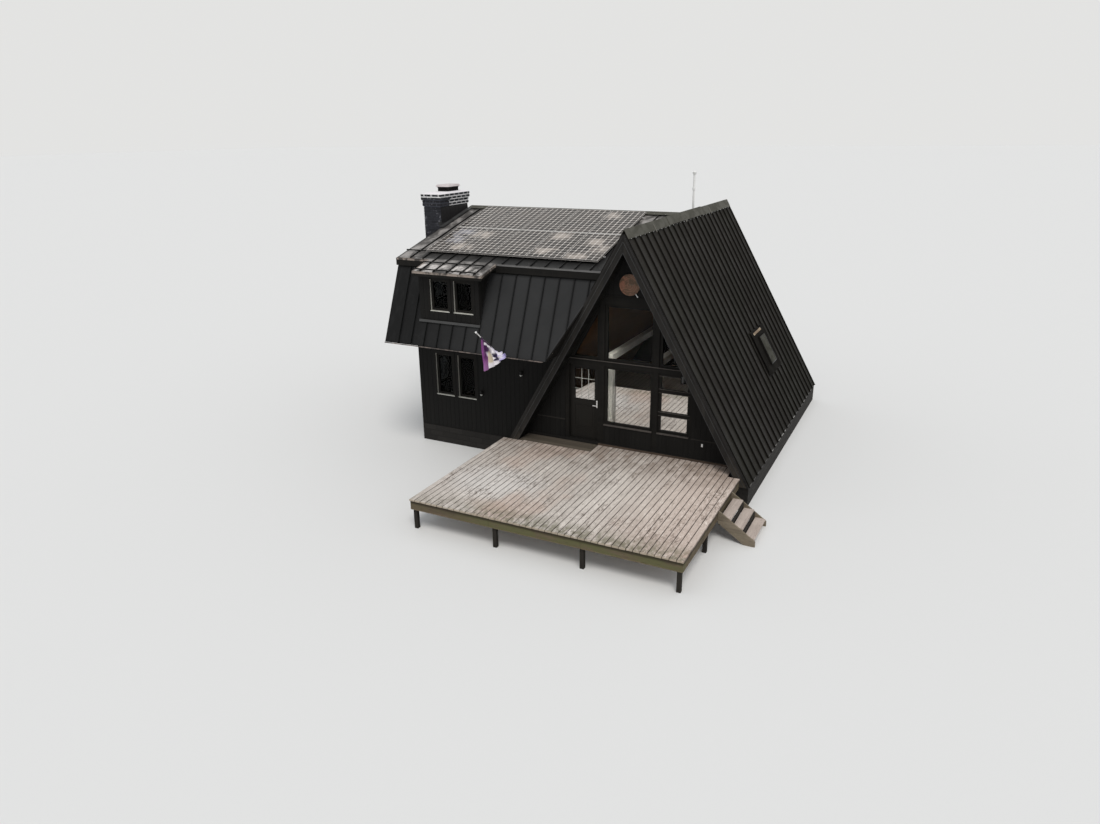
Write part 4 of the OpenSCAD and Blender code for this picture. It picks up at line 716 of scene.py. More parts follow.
def flag_cloth(name):
    """Thin woven cloth: violet by the staff's tip, white further in with painted shade in its folds and below
    the staff, then pale violet.

    Its sleeve along the staff is dark. On its chart, X runs from the staff's tip and Y up from the lower hem.
    """
    finish, b, out = new_finish(name, Sheen_Weight=0.12, Sheen_Roughness=0.5, Specular_IOR_Level=0.15)
    spot = b.add("UVMap", uv_map="cloth").outputs[0]
    sides = b.sides(spot)
    across, up = sides["X"], sides["Y"]
    ragged = b.plus(across, b.times(b.less(up, b.noise(spot, 3, 3, 0.5)), 0.16))
    stray = b.plus(across, b.times(b.less(b.noise(spot, 7, 3, 0.6), 0.5), 0.22))
    tone = b.tint(b.fade(ragged, 0.24, 0.27), (0.250, 0.066, 0.255), (0.88, 0.84, 0.88))
    faded = b.times(b.fade(ragged, 0.30, 0.20), b.fade(up, 0.45, 0.05, 0.0, 0.45))
    # Painted shade: a deep fold by the tip, a band below the staff, and a fold and a crease further in.
    deep_fold_shade = b.times(b.band(ragged, 0.10, 0.16, 0.22, 0.26), b.fade(up, 0.25, 0.50))
    shade_below_staff = b.times(b.band(across, 0.13, 0.18, 0.42, 0.52), b.band(up, 0.50, 0.62, 0.77, 0.81))
    sleeve = b.times(b.fade(up, 0.850, 0.870), b.fade(across, 0.72, 0.62))
    warm = b.times(b.band(stray, 0.33, 0.38, 0.45, 0.50), b.band(up, 0.14, 0.26, 0.58, 0.70))
    fold = b.times(b.band(stray, 0.60, 0.64, 0.70, 0.74), b.band(up, 0.10, 0.25, 0.52, 0.66))
    crease_shade = b.times(b.band(stray, 0.485, 0.50, 0.53, 0.55), b.band(up, 0.06, 0.14, 0.44, 0.52))
    cool = b.times(b.fade(across, 0.66, 0.74), b.fade(b.noise(spot, 6, 4, 0.6, 0.8), 0.42, 0.56))
    for share, colour in ((faded, (0.42, 0.22, 0.42)), (b.times(deep_fold_shade, 0.9), (0.055, 0.010, 0.065)),
                          (shade_below_staff, (0.045, 0.007, 0.060)), (sleeve, (0.042, 0.010, 0.050)),
                          (b.times(warm, 0.85), (0.60, 0.50, 0.33)), (fold, (0.018, 0.012, 0.045)),
                          (crease_shade, (0.030, 0.010, 0.036)), (b.times(cool, 0.8), (0.34, 0.29, 0.62))):
        tone = b.tint(share, tone, colour)
    fine = b.add("Mapping", {"Vector": spot, "Scale": (1, 1.1, 1)}).outputs[0]
    warp, weft = (b.add("TexWave", {"Vector": fine, "Scale": 260.0}, bands_direction=way).outputs["Fac"]
                  for way in "XY")
    weave = b.times(warp, weft)
    tone = b.tint(b.times(weave, 0.12), tone, (0.05, 0.03, 0.06))
    connect(b, out, tone, b.fade(weave, 0, 1, 0.72, 0.9), weave, 0.0004, 0.5)
    return finish


# The finishes

GREY_BOARDS = deck_wood("deck_boards_grey", (0.77, 0.71, 0.65), (0.44, 0.39, 0.35))
RIM_BOARDS = rim_wood("rim_boards_mossy", (0.165, 0.125, 0.082), (0.055, 0.042, 0.028), (0.106, 0.108, 0.046))
TREAD_BOARDS = planks("tread_boards_grey", (0.70, 0.60, 0.53), (0.38, 0.315, 0.275), "y", 0.75, islands=False)
STRINGERS = planks("stringers_weathered", (0.30, 0.250, 0.185), (0.130, 0.106, 0.076), "x", 0.8,
                   islands=False, green=0.15)
# Dark wood, darkened further to paint the shade under the deck and between the steps.
POSTS_IN_SHADE = planks("deck_posts_painted_shade", (0.034, 0.030, 0.024), (0.015, 0.013, 0.011), "z", 0.8, islands=False)
LANDING = planks("landing_planks", (0.158, 0.132, 0.102), (0.048, 0.040, 0.031), "x", 0.8, spread=0.6)
FOOT_BOARD = planks("foot_board_brown", (0.11, 0.080, 0.060), (0.045, 0.032, 0.024), "x", 0.75, islands=False)
PALE_PINE = planks("pale_pine_posts", (0.93, 0.91, 0.86), (0.80, 0.77, 0.70), "z", 0.5, islands=False)
BARK = planks("disc_bark", (0.17, 0.125, 0.10), (0.075, 0.052, 0.040), "y", 0.8, spread=0.6)
DISC_BAR = planks("disc_bar", (0.30, 0.22, 0.17), (0.15, 0.10, 0.07), "x", 0.6, islands=False)
ROUND_WOOD = round_wood("round_wood")

LINING = (0.20, 0.095, 0.040), (0.105, 0.045, 0.017), (0.008, 0.008, 0.007)
CABIN_SLAB = lined_slab("cabin_roof_lining", *LINING, {"Y": (0.080, 7.620)})
WING_SLAB = lined_slab("wing_roof_lining", *LINING, {"X": (-6.150, 0), "Y": (0.080, 6.780)})
STEEP_SLAB = lined_slab("steep_roof_lining", *LINING, {"X": (-6.150, 0), "Y": (-0.800, 7.660)})
CABIN_FLOOR = inner_floor("cabin_floor_boards", (0.62, 0.57, 0.51), (0.42, 0.37, 0.32))
WING_FLOOR = inner_floor("wing_floor_boards", (0.40, 0.22, 0.10), (0.24, 0.12, 0.05))

BLACK_BOARDS = paint("black_boards", (0.0096, 0.0093, 0.0088), (0.021, 0.020, 0.0185), rough=0.55)
BLACK_TRIM = paint("black_trim", (0.0095, 0.0090, 0.0082), (0.024, 0.022, 0.019), "x")
RAKE_PAINT = paint("rake_paint", (0.0165, 0.0157, 0.0148), (0.038, 0.035, 0.031), wear=0.4, splash=0.6)
DOOR_PAINT = paint("door_paint", (0.0142, 0.0132, 0.0115), (0.024, 0.022, 0.020), rough=0.35, wear=0.15,
                   specular=0.12)
LEDGE_PAINT = paint("ledge_paint", (0.062, 0.055, 0.050), (0.125, 0.115, 0.105), "x")
SIDE_LEDGE = paint("side_ledge_paint", (0.024, 0.022, 0.020), (0.050, 0.046, 0.042), "x")
WHITE_TRIM = paint("white_trim", (0.56, 0.55, 0.50), (0.34, 0.33, 0.29), rough=0.45, wear=0.35, specular=0.4)
SHELL_WHITE = paint("shell_white", (0.85, 0.85, 0.83), (0.66, 0.65, 0.62), rough=0.45, wear=0.2, specular=0.4)
BAR_PAINT = paint("bar_paint", (0.46, 0.46, 0.42), (0.34, 0.34, 0.31), rough=0.45, specular=0.2)

EAST_SHEET = sheet_metal("cabin_sheet_black", (0.0158, 0.0146, 0.0124), (0.02, 0.02, 0.02), cabin_tones,
                         "Y", -0.56, 0.40, 0.05, 0.58, seam=0.16, painted_side_light=0.34)
# The flat faces' pale grey is partly dust and partly a painted reflection of the bright sky.
WING_SHEET = sheet_metal("wing_sheet_grey", (0.0185, 0.0187, 0.019), (0.235, 0.222, 0.212), wing_tones,
                         "X", -6.149, 0.402, 0.12, 0.8, rough=0.38)
CAP_SHEET = plain_metal("cap_sheet_grey", (0.078, 0.075, 0.060), 0.5, specular=0.10)
LAP_METAL = plain_metal("cap_lap_metal", (0.150, 0.140, 0.115), 0.45, specular=0.2)
DARK_METAL = plain_metal("dark_metal", (0.012, 0.0115, 0.011), 0.45, specular=0.12)
DRIP_METAL = chipped_metal("drip_metal_cream", (0.30, 0.250, 0.215), (0.050, 0.044, 0.040))
EAVE_METAL = plain_metal("eave_metal_grey", (0.170, 0.166, 0.162), 0.4, specular=0.25)
SIDE_METAL = plain_metal("side_metal_dark", (0.042, 0.042, 0.043), 0.45, specular=0.15)
FOOT_METAL = chipped_metal("foot_metal_brown", (0.200, 0.160, 0.142), (0.070, 0.060, 0.055))
HEM_METAL = worn_hem("eave_hem_metal", (0.030, 0.028, 0.026), (0.34, 0.33, 0.31))
RAKE_METAL = plain_metal("rake_metal", (0.026, 0.0245, 0.0235), 0.45, specular=0.12)
# A paler copy of the rake's black, painting the highlight along its mouldings.
RAKE_HIGHLIGHT_LINE = plain_metal("rake_moulding", (0.050, 0.050, 0.050), 0.45, specular=0.2)
HEAD_METAL = chipped_metal("head_flashing_cream", (0.62, 0.52, 0.37), (0.20, 0.14, 0.085))
DARK_APRON = plain_metal("dark_apron_metal", (0.0125, 0.0115, 0.0100), 0.75, specular=0.02)
APRON_METAL = plain_metal("apron_metal_grey", (0.062, 0.062, 0.062), 0.45, specular=0.2)
PANEL_METAL = plain_metal("stack_panel_metal", (0.016, 0.015, 0.016), 0.4, specular=0.2)
COVER_METAL = plain_metal("cap_cover_metal", (0.66, 0.60, 0.60), 0.45, specular=0.4, dull=0.4)
CAP_PLATE = capped_metal("chimney_cap_plate", (0.50, 0.47, 0.46), (0.030, 0.027, 0.027))
RAIL_METAL = plain_metal("bare_rail_metal", (0.60, 0.60, 0.60), 0.38, metallic=0.7)
FRAME_METAL = plain_metal("module_joint_metal", (0.50, 0.50, 0.49), 0.35, metallic=0.3)
# A darker copy of the frames' metal, painting the dark reflection of the modules' outer bars.
DARK_REFLECTION_FRAME = plain_metal("module_frame_painted_dark", (0.135, 0.13, 0.125), 0.4, metallic=0.2)
# Pale metal, made paler still to paint the lever's glint.
GLINT_LEVER_METAL = plain_metal("lever_metal_painted_glint", (0.92, 0.92, 0.90), 0.28, metallic=0.35, dull=0.15)

BACK_FILM = plain_metal("module_back_film", (0.76, 0.71, 0.66), 0.35, specular=0.15, dull=0.2)
# Opaque dark olive in place of the glass: the pane's look is painted as a flat colour.
ROOF_PANE = plain_metal("roof_window_pane", (0.030, 0.029, 0.018), 0.3, specular=0.03)
LENS_GLASS = plain_metal("pale_lens", (0.55, 0.55, 0.52), 0.3, specular=0.4, dull=0.2)
LANTERN_GLASS = plain_metal("lantern_pane", (0.05, 0.05, 0.048), 0.15, dull=0.2)
CELL_FACE = cell_face("silicon_cells")
WINDOW_GLASS = glazing("window_glass", (0.40, 0.42, 0.40))
GABLE_GLASS = glazing("gable_glass", (0.97, 0.975, 0.96))
PANE_FILM = mirror_film("pane_film")
DOOR_FILM = mirror_film("door_pane_film", door=True)

STACK_BRICK = bricks("painted_brick", (0.0165, 0.0172, 0.0215), (0.42, 0.42, 0.46), 0.55)
CROWN_BRICK = bricks("crown_brick", (0.016, 0.016, 0.020), (0.50, 0.50, 0.52), 0.4)
STACK_MORTAR = mortar("stack_mortar", (0.052, 0.054, 0.066), (0.90, 0.89, 0.88))
CROWN_MORTAR = mortar("crown_mortar", (0.82, 0.79, 0.81), (0.82, 0.79, 0.81))
FOOTING = stonework("footing_stone", (0.024, 0.022, 0.020), (0.013, 0.012, 0.011))
FLAG_CLOTH = flag_cloth("flag_cloth")

SOLID_FINISHES = [
    (FOOTING, ["foundation_cross", "foundation_long"]),
    (CABIN_FLOOR, ["cabin_floor"]),
    (WING_FLOOR, ["wing_floor", "wing_upper_floor"]),
    (CABIN_SLAB, ["roof_east", "roof_west"]),
    (STEEP_SLAB, ["wing_steep_roof"]),
    (WING_SLAB, ["wing_roof_front", "wing_roof_rear"]),
    (PALE_PINE, ["loft_posts", "loft_beams"]),
    (EAST_SHEET, ["metal_east", "metal_west"]),
    (WING_SHEET, ["wing_metal"]),
    (CAP_SHEET, ["ridge_cap", "wing_ridge_cap"]),
    (RAKE_PAINT, ["rake_boards"]),
    (BLACK_BOARDS, ["gable_panel", "front_wall", "rear_wall", "wing_walls", "wing_west_wall", "dormer_faces",
                    "dormer_cheeks"]),
    (BLACK_TRIM, ["dormer_roofs", "front_posts", "front_beams", "door_frame", "cabin_window_frames",
                  "wing_window_frames", "eaves_boards", "verge_boards", "steep_return"]),
    (ROUND_WOOD, ["gable_disc"]),
    (DOOR_PAINT, ["front_door"]),
    (GLINT_LEVER_METAL, ["door_lever"]),
    (GABLE_GLASS, ["door_glass", "cabin_glass"]),
    (WINDOW_GLASS, ["wing_glass"]),
    (BACK_FILM, ["solar_modules"]),
    (RAIL_METAL, ["solar_rails"]),
    (DARK_METAL, ["door_hinges", "snow_bars", "skylight_frame", "wall_lamps"]),
    (STACK_MORTAR, ["chimney_breast", "chimney_stack"]),
    (CAP_PLATE, ["chimney_cap"]),
    (GREY_BOARDS, ["deck_floor"]),
    (RIM_BOARDS, ["deck_frame"]),
    (POSTS_IN_SHADE, ["deck_posts"]),
    (STRINGERS, ["step_stringers"]),
    (TREAD_BOARDS, ["step_treads"]),
    (SHELL_WHITE, ["service_mast", "flag_staff"]),
    (FLAG_CLOTH, ["flag"]),
]
for finish, names in SOLID_FINISHES:
    for name in names:
        coats = solids[name].data.materials
        for i in range(len(coats)):
            coats[i] = finish
        if not len(coats):
            coats.append(finish)

# Making pieces

CLADDING, BOARD_PITCH, BOARD_GAP = 0.009, 0.140, 0.006


def slab(bm, low, high, place=Matrix.Identity(4)):
    """A squared piece between two corners of a placed frame."""
    low, high = Vector(low), Vector(high)
    box = place @ Matrix.Translation((low + high) / 2) @ Matrix.Diagonal((*(high - low), 1))
    return bmesh.ops.create_cube(bm, size=1, matrix=box)["verts"]


def ease(bm, width, steps=1, edges=None):
    """Takes the sharp edges off."""
    bmesh.ops.bevel(bm, geom=edges or bm.edges[:], offset=width, offset_type="OFFSET", segments=steps,
                    profile=0.5, affect="EDGES", material=-1, clamp_overlap=True)


def saw(bm, point, outward):
    """Cuts away what lies past a plane and closes the cut."""
    everything = bm.verts[:] + bm.edges[:] + bm.faces[:]
    bmesh.ops.bisect_plane(bm, geom=everything, dist=1e-6, plane_co=point, plane_no=outward, clear_outer=True)
    bmesh.ops.holes_fill(bm, edges=[e for e in bm.edges if e.is_boundary], sides=0)


def stub(bm, place, sides, radius, long, top=None):
    """A short round piece, narrower at its top when that has a radius of its own."""
    bmesh.ops.create_cone(bm, cap_ends=True, segments=sides, radius1=radius, radius2=top or radius,
                          depth=long, matrix=place)


def round_bar(bm, start, end, radius, sides=12):
    """A round bar between two points."""
    start, end = Vector(start), Vector(end)
    turn = (end - start).to_track_quat("Z", "Y").to_matrix().to_4x4()
    stub(bm, Matrix.Translation((start + end) / 2) @ turn, sides, radius, (end - start).length)


def fit(name, bm, finish, body="cabin", eased=0.0, steps=1, smooth=False):
    """Takes the edges off the made shape and turns it into a piece that moves with a body."""
    if eased:
        ease(bm, eased, steps)
    mesh = bpy.data.meshes.new(name)
    bm.to_mesh(mesh)
    bm.free()
    mesh.materials.append(finish)
    if smooth:
        mesh.shade_smooth()
    piece = bpy.data.objects.new(name, mesh)
    scene.collection.objects.link(piece)
    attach(piece, body)
    return piece


def board_up(bm, place, left, right, low, high, openings=()):
    """Upright boards on a wall face, cut round its openings."""
    sunk, least = -0.001, 0.002
    edges = sorted({u for o in openings for u in o[:2]})
    for i in range(math.ceil((right - left) / BOARD_PITCH)):
        a = left + i * BOARD_PITCH
        z = min(a + BOARD_PITCH - BOARD_GAP, right)
        stops = [a] + [e for e in edges if a + least < e < z - least] + [z]
        for c, d in zip(stops, stops[1:]):
            v = low
            over = sorted((o for o in openings if o[0] < (c + d) / 2 < o[1]), key=lambda o: o[2])
            for o in over:
                if min(o[2], high) > v + least:
                    slab(bm, (c, v, sunk), (d, min(o[2], high), CLADDING), place)
                v = max(v, o[3])
            if high > v + least:
                slab(bm, (c, v, sunk), (d, high, CLADDING), place)


# Wall boards

TALL = 9
BOARDED_HALF, GABLE_TOP = 2.86, 5.9
UNDER_ROOF_HALF = (RIDGE_Z / SLOPE) - 0.2186
UNDER_EAST = ((UNDER_ROOF_HALF, 0, 0), (SLOPE, 0, 1))
UNDER_WEST = ((-UNDER_ROOF_HALF, 0, 0), (-SLOPE, 0, 1))


def saw_under_roof(bm):
    """Cuts boards off along both sides of the cabin's roof."""
    saw(bm, *UNDER_EAST)
    saw(bm, *UNDER_WEST)


def saw_by_sheets(bm, clear):
    """Cuts what runs to the cabin's west side off just above its sheets."""
    saw(bm, (-RIDGE_Z / SLOPE - clear, 0, 0), (SLOPE, 0, -1))


def gable_boards():
    """Boards beside and below the front gable's windows, and above its panel."""
    bm = bmesh.new()
    doorway, post, side = (-1.730, MIDDLE_BAY[0]), (MIDDLE_BAY[1], SIDE_BAY[0]), (SIDE_BAY[0], 1.660)
    bays = [(*doorway, 0, TALL), (*post, 0, TALL), (*MIDDLE_BAY, SILL_Z, TALL), (*side, SILL_Z, TALL)]
    board_up(bm, FRONT, -BOARDED_HALF, BOARDED_HALF, FLOOR_Z, TRANSOM_Z, bays)
    board_up(bm, FRONT, -0.70, 0.70, PANEL_Z, GABLE_TOP)
    saw_under_roof(bm)
    fit("gable_boards", bm, BLACK_BOARDS)


def back_gable_boards():
    """Boards of the back gable, round its two windows."""
    bm = bmesh.new()
    windows = [(*MIDDLE_BAY, SILL_Z, TRANSOM_Z), (*MIDDLE_BAY, BEAM_Z, TIE_Z)]
    board_up(bm, BACK, -BOARDED_HALF, BOARDED_HALF, FLOOR_Z, GABLE_TOP, windows)
    saw_under_roof(bm)
    fit("back_gable_boards", bm, BLACK_BOARDS)


def wing_boards():
    """Boards of the wing's front and back walls, up to the steep roofs."""
    bm = bmesh.new()
    corner, cabin_end, top = WING_WALL_X - CLADDING, -1.70, 3.00
    board_up(bm, FRONT, corner, cabin_end, EAVE_Z, top, WING_WINDOWS)
    board_up(bm, WING_BACK, -cabin_end, -corner, EAVE_Z, top, turned(WING_WINDOWS))
    saw_by_sheets(bm, 0.048)
    fit("wing_boards", bm, BLACK_BOARDS)


def end_wall_boards():
    """Boards of the wing's end wall, round its windows and the chimney."""
    bm = bmesh.new()
    stack = (-STACK_BACK - CLADDING, -STACK_FRONT + CLADDING, 0, TALL)
    openings = turned(END_WINDOWS) + [stack]
    board_up(bm, WEST, -behind(-WALL), WALL, EAVE_Z, 3.20, openings)
    board_up(bm, WEST, -7.86, 1.00, 3.20, 6.20, openings)
    for y_way, steep in ((-1, STEEP_Y + 0.150), (1, behind(STEEP_Y + 0.150))):
        saw(bm, (0, steep, STEEP_Z), (0, y_way * STEEP_IN, STEEP_UP))
        saw(bm, (0, WING_RIDGE_Y, WING_RIDGE_Z - 0.157), (0, y_way * WING_SLOPE, 1))
    fit("end_wall_boards", bm, BLACK_BOARDS)


def dormer_boards():
    """Boards round the dormers' windows, in front and behind."""
    bm = bmesh.new()
    foot, top = DORMER_FOOT_Z + 0.004, wing_top(DORMER_Y) - 0.098
    board_up(bm, DORMER_FRONT, DORMER_WEST, DORMER_EAST, foot, top, DORMER_WINDOWS)
    board_up(bm, DORMER_BACK, -DORMER_EAST, -DORMER_WEST, foot, top, turned(DORMER_WINDOWS))
    fit("dormer_boards", bm, BLACK_BOARDS)


def dormer_cheek_boards(name, y_way, near, steep):
    """Boards of a dormer's two sides, between the steep roof and the wing's roof."""
    bm = bmesh.new()
    far = near - y_way * 0.52
    for x, way in ((DORMER_WEST, -1), (DORMER_EAST, 1)):
        left, right = sorted((near * way, far * way))
        board_up(bm, axes((x, 0, 0), (0, way, 0), (way, 0, 0)), left, right, 3.60, 5.30)
    saw(bm, (0, steep, STEEP_Z), (0, -y_way * STEEP_IN, -STEEP_UP))
    saw(bm, (0, WING_RIDGE_Y, WING_RIDGE_Z - 0.096), (0, y_way * WING_SLOPE, 1))
    fit(name, bm, BLACK_BOARDS)


gable_boards()
back_gable_boards()
wing_boards()
end_wall_boards()
dormer_boards()
dormer_cheek_boards("dormer_cheek_boards", -1, DORMER_Y, STEEP_Y)
dormer_cheek_boards("back_dormer_cheek_boards", 1, behind(DORMER_Y), behind(STEEP_Y))

# Trim on the gable, the door and the windows


def gable_ledges():
    """Ledges over the doorway's beam, under the windows and between their panes."""
    bm = bmesh.new()
    slab(bm, (-1.74, BEAM_Z - 0.004, -0.001), (1.655, BEAM_Z + 0.014, 0.026), FRONT)
    for left, right in (MIDDLE_BAY, SIDE_BAY):
        slab(bm, (left, SILL_Z - 0.022, -0.034), (right, SILL_Z + 0.006, 0.030), FRONT)
    left, right = SIDE_BAY[0] + 0.005, SIDE_BAY[1] - 0.005
    for z in (1.810, 2.400):
        slab(bm, (left, z + 0.044, -0.036), (right, z + 0.056, -0.018), FRONT)
        slab(bm, (left, z - 0.052, -0.036), (right, z - 0.041, -0.024), FRONT)
    slab(bm, (left, TRANSOM_Z - 0.085, -0.036), (right, TRANSOM_Z - 0.073, -0.018), FRONT)
    fit("gable_ledges", bm, LEDGE_PAINT, eased=0.002)


def side_ledges():
    """The sill's line carried on over the boards, out to the roof."""
    bm = bmesh.new()
    for left, right in ((-BOARDED_HALF, -1.735), (1.665, BOARDED_HALF)):
        slab(bm, (left, SILL_Z - 0.030, 0.0), (right, SILL_Z, 0.022), FRONT)
    saw_under_roof(bm)
    fit("side_ledges", bm, SIDE_LEDGE, eased=0.002)


def tie_ledge():
    """Ledge under the gable's panel, and the stops at the ends of the tie."""
    bm = bmesh.new()
    left, right = MIDDLE_BAY
    slab(bm, (left, PANEL_Z - 0.020, -0.001), (right, PANEL_Z + 0.006, 0.030), FRONT)
    for x in (left, right - 0.045):
        slab(bm, (x, TIE_Z - 0.001, -0.030), (x + 0.045, TIE_Z, 0.0), FRONT)
    fit("tie_ledge", bm, BLACK_TRIM, eased=0.0015)


def outlet_cover():
    """Socket cover on the boards beside the side bay."""
    bm = bmesh.new()
    slab(bm, (1.930, 1.135, 0.008), (1.972, 1.212, 0.022), FRONT)
    ease(bm, 0.004, 2)
    for z in (1.158, 1.190):
        slab(bm, (1.941, z - 0.009, 0.0215), (1.961, z + 0.009, 0.0245), FRONT)
    fit("outlet_cover", bm, SHELL_WHITE)


def door_glazing_bars():
    """Bars on both faces of the leaf's glass, for nine lights."""
    x0, x1, z0, z1 = DOOR_LIGHTS
    bm = bmesh.new()
    for y0, y1 in ((0.0395, 0.0468), (0.0542, 0.0615)):
        for i in (1, 2):
            x, z = x0 + (x1 - x0) * i / 3, z0 + (z1 - z0) * i / 3
            slab(bm, (x - 0.006, y0, z0), (x + 0.006, y1, z1))
            slab(bm, (x0, y0 + 0.0006, z - 0.006), (x1, y1 - 0.0006, z + 0.006))
    fit("door_glazing_bars", bm, BAR_PAINT, "door", eased=0.0018)


def door_mouldings():
    """Mouldings round the leaf's glass and its sunk panel, and the panel's raised field."""
    x0, x1, z0, z1 = DOOR_LIGHTS
    bm = bmesh.new()
    for low, high in ((1.062, 1.742), (z0, z1)):
        for x in (x0, x1 - 0.016):
            slab(bm, (x, 0.0220, low), (x + 0.016, 0.0300, high))
        for z in (low, high - 0.016):
            slab(bm, (x0 + 0.016, 0.0220, z), (x1 - 0.016, 0.0300, z + 0.016))
    slab(bm, (x0 + 0.07, 0.0300, 1.132), (x1 - 0.07, 0.0385, 1.672))
    fit("door_mouldings", bm, DOOR_PAINT, "door", eased=0.004)


def lever_plate():
    """Plate behind the lever, with a screw at each end, in the pale metal that paints the lever's glint."""
    bm = bmesh.new()
    slab(bm, (-0.904, 0.0238, 1.688), (-0.852, 0.0286, 1.852))
    ease(bm, 0.0018, 2)
    for z in (1.700, 1.840):
        round_bar(bm, (-0.878, 0.0242, z), (-0.878, 0.0226, z), 0.004, 10)
    fit("lever_plate", bm, GLINT_LEVER_METAL, "door")


WING_OPENINGS = [(FRONT, WING_WINDOWS), (WING_BACK, turned(WING_WINDOWS)), (DORMER_FRONT, DORMER_WINDOWS),
                 (DORMER_BACK, turned(DORMER_WINDOWS)), (WEST, turned(END_WINDOWS))]


def window_linings():
    """White linings in the wing's openings, with sills that tip the rain out."""
    bm = bmesh.new()
    board, deep, proud = 0.010, 0.035, 0.008
    for place, openings in WING_OPENINGS:
        for left, right, low, high in openings:
            slab(bm, (left, low + board, -deep), (left + board, high, proud), place)
            slab(bm, (right - board, low + board, -deep), (right, high, proud), place)
            slab(bm, (left + board, high - board, -deep), (right - board, high, proud), place)
            slab(bm, (left - board, low - 0.012, -deep), (right + board, low + board, proud + 0.014), place)
    fit("window_linings", bm, WHITE_TRIM, eased=0.0025)


def window_casings():
    """Black boards round the wing's windows, on the cladding."""
    bm = bmesh.new()
    wide, lap = 0.066, 0.009
    for place, openings in WING_OPENINGS:
        for left, right, low, high in openings:
            slab(bm, (left - wide, low - 0.018, 0.001), (left + lap, high + wide, 0.017), place)
            slab(bm, (right - lap, low - 0.018, 0.001), (right + wide, high + wide, 0.017), place)
            slab(bm, (left + lap, high - lap, 0.001), (right - lap, high + wide, 0.0165), place)
    fit("window_casings", bm, BLACK_TRIM, eased=0.0025)


def disc_bark():
    """Uneven bark round the edge of the disc."""
    centre, radius, count = Vector((0, -WALL, 4.950)), 0.255, 72
    bm = bmesh.new()
    for i in range(count):
        turn = 2 * math.pi * i / count
        reach = radius + dice.uniform(-0.007, -0.002)
        place = axes(centre + Vector((math.cos(turn) * reach, -0.050, math.sin(turn) * reach)),
                     (-math.sin(turn), 0, math.cos(turn)), (0, -1, 0))
        slab(bm, (-0.0105, -0.010, -0.020), (0.0105, 0.004, 0.004), place)
    fit("disc_bark", bm, BARK, eased=0.002)


def gable_hook():
    """White hook below the disc."""
    bm = bmesh.new()
    round_bar(bm, (0.118, -0.078, 4.775), (0.124, -0.104, 4.764), 0.009)
    round_bar(bm, (0.118, -0.100, 4.772), (0.208, -0.104, 4.664), 0.011)
    fit("gable_hook", bm, SHELL_WHITE, eased=0.0015)


def disc_bar():
    """Short line cut across the disc."""
    bm = bmesh.new()
    slab(bm, (-0.020, -0.1315, 4.952), (0.110, -0.1285, 4.966))
    fit("disc_bar", bm, DISC_BAR, eased=0.0012)


def pane_film():
    """Sun film on the lower lights of the gable."""
    bm = bmesh.new()
    for x0, x1, z0, z1 in ((-0.578, 0.578, 1.382, 2.348), (0.852, 1.528, 1.382, 1.765),
                           (0.852, 1.528, 1.855, 2.345)):
        slab(bm, (x0, -0.0095, z0), (x1, -0.0083, z1))
    fit("pane_film", bm, PANE_FILM)


def door_pane_film():
    """Sun film on the door's lower lights."""
    bm = bmesh.new()
    slab(bm, (DOOR_LIGHTS[0], 0.0460, DOOR_LIGHTS[2]), (DOOR_LIGHTS[1], 0.0468, 2.429))
    fit("door_pane_film", bm, DOOR_FILM, "door")


gable_ledges()
side_ledges()
tie_ledge()
outlet_cover()
door_glazing_bars()
door_mouldings()
lever_plate()
window_linings()
window_casings()
disc_bark()
gable_hook()
disc_bar()
pane_film()
door_pane_film()

# Roof edges and flashings

RAKES = ((EAST_ROOF, (-0.606, 8.298)), (WEST_ROOF, (-8.306, 0.598)))


def eave_trim(bm, x0, x1, y, deep=0.045):
    """Folded edge along an eave, in front of and behind the ridge."""
    top = wing_top(y)
    for y0, y1, z0 in ((y - 0.032, y - 0.024, top - deep), (y - 0.032, y + 0.050, top + 0.004)):
        slab(bm, (x0, y0, z0), (x1, y1, top + 0.010))
        slab(bm, (x0, behind(y1), z0), (x1, behind(y0), top + 0.010))


def drip_edges():
    """Cream edges of the wing's west part and round the dormers' roofs."""
    bm = bmesh.new()
    eave_trim(bm, WING_EDGE_X, DORMER_ROOF_WEST, WING_EAVE_Y)
    eave_trim(bm, DORMER_ROOF_WEST, DORMER_ROOF_EAST, DORMER_EAVE_Y)
    lean, thick, wide = math.cos(math.atan(WING_SLOPE)), 0.006, 0.036
    s0, s1 = (WING_RIDGE_Y + 0.420) / lean, (WING_RIDGE_Y + 1.150) / lean
    for roof, way in WING_ROOFS:
        for x, west in ((DORMER_ROOF_WEST, True), (DORMER_ROOF_EAST - thick, False)):
            u = x if way > 0 else -x - thick
            inner = u if west == (way > 0) else u + thick - wide
            slab(bm, (u, -s1, -0.046), (u + thick, -s0, 0.012), roof)
            slab(bm, (inner, -s1, 0.006), (inner + wide, -s0, 0.012), roof)
    fit("drip_edges", bm, DRIP_METAL, eased=0.0012)


def grey_edges():
    """Grey edge of the wing's eaves between the dormers' roofs and the cabin."""
    bm = bmesh.new()
    eave_trim(bm, DORMER_ROOF_EAST, WING_EAST_X, WING_EAVE_Y, 0.026)
    fit("grey_edges", bm, EAVE_METAL, eased=0.0012)


def side_strips():
    """Strips up the steep roofs where they meet the cabin's sheets."""
    bm = bmesh.new()
    wide, foot_x, along, up = 0.026, -1.747, 1.087, 2.073
    for steep, way in ((STEEP, 1), (STEEP_BACK, -1)):
        edge = Vector((along * way, up, 0))
        strip = steep @ axes((foot_x * way, 0, 0.011), edge, (0, 0, 1))
        slab(bm, (0.0, min(0.0, wide * way), 0.0), (edge.length, max(0.0, wide * way), 0.004), strip)
    fit("side_strips", bm, SIDE_METAL, eased=0.0012)


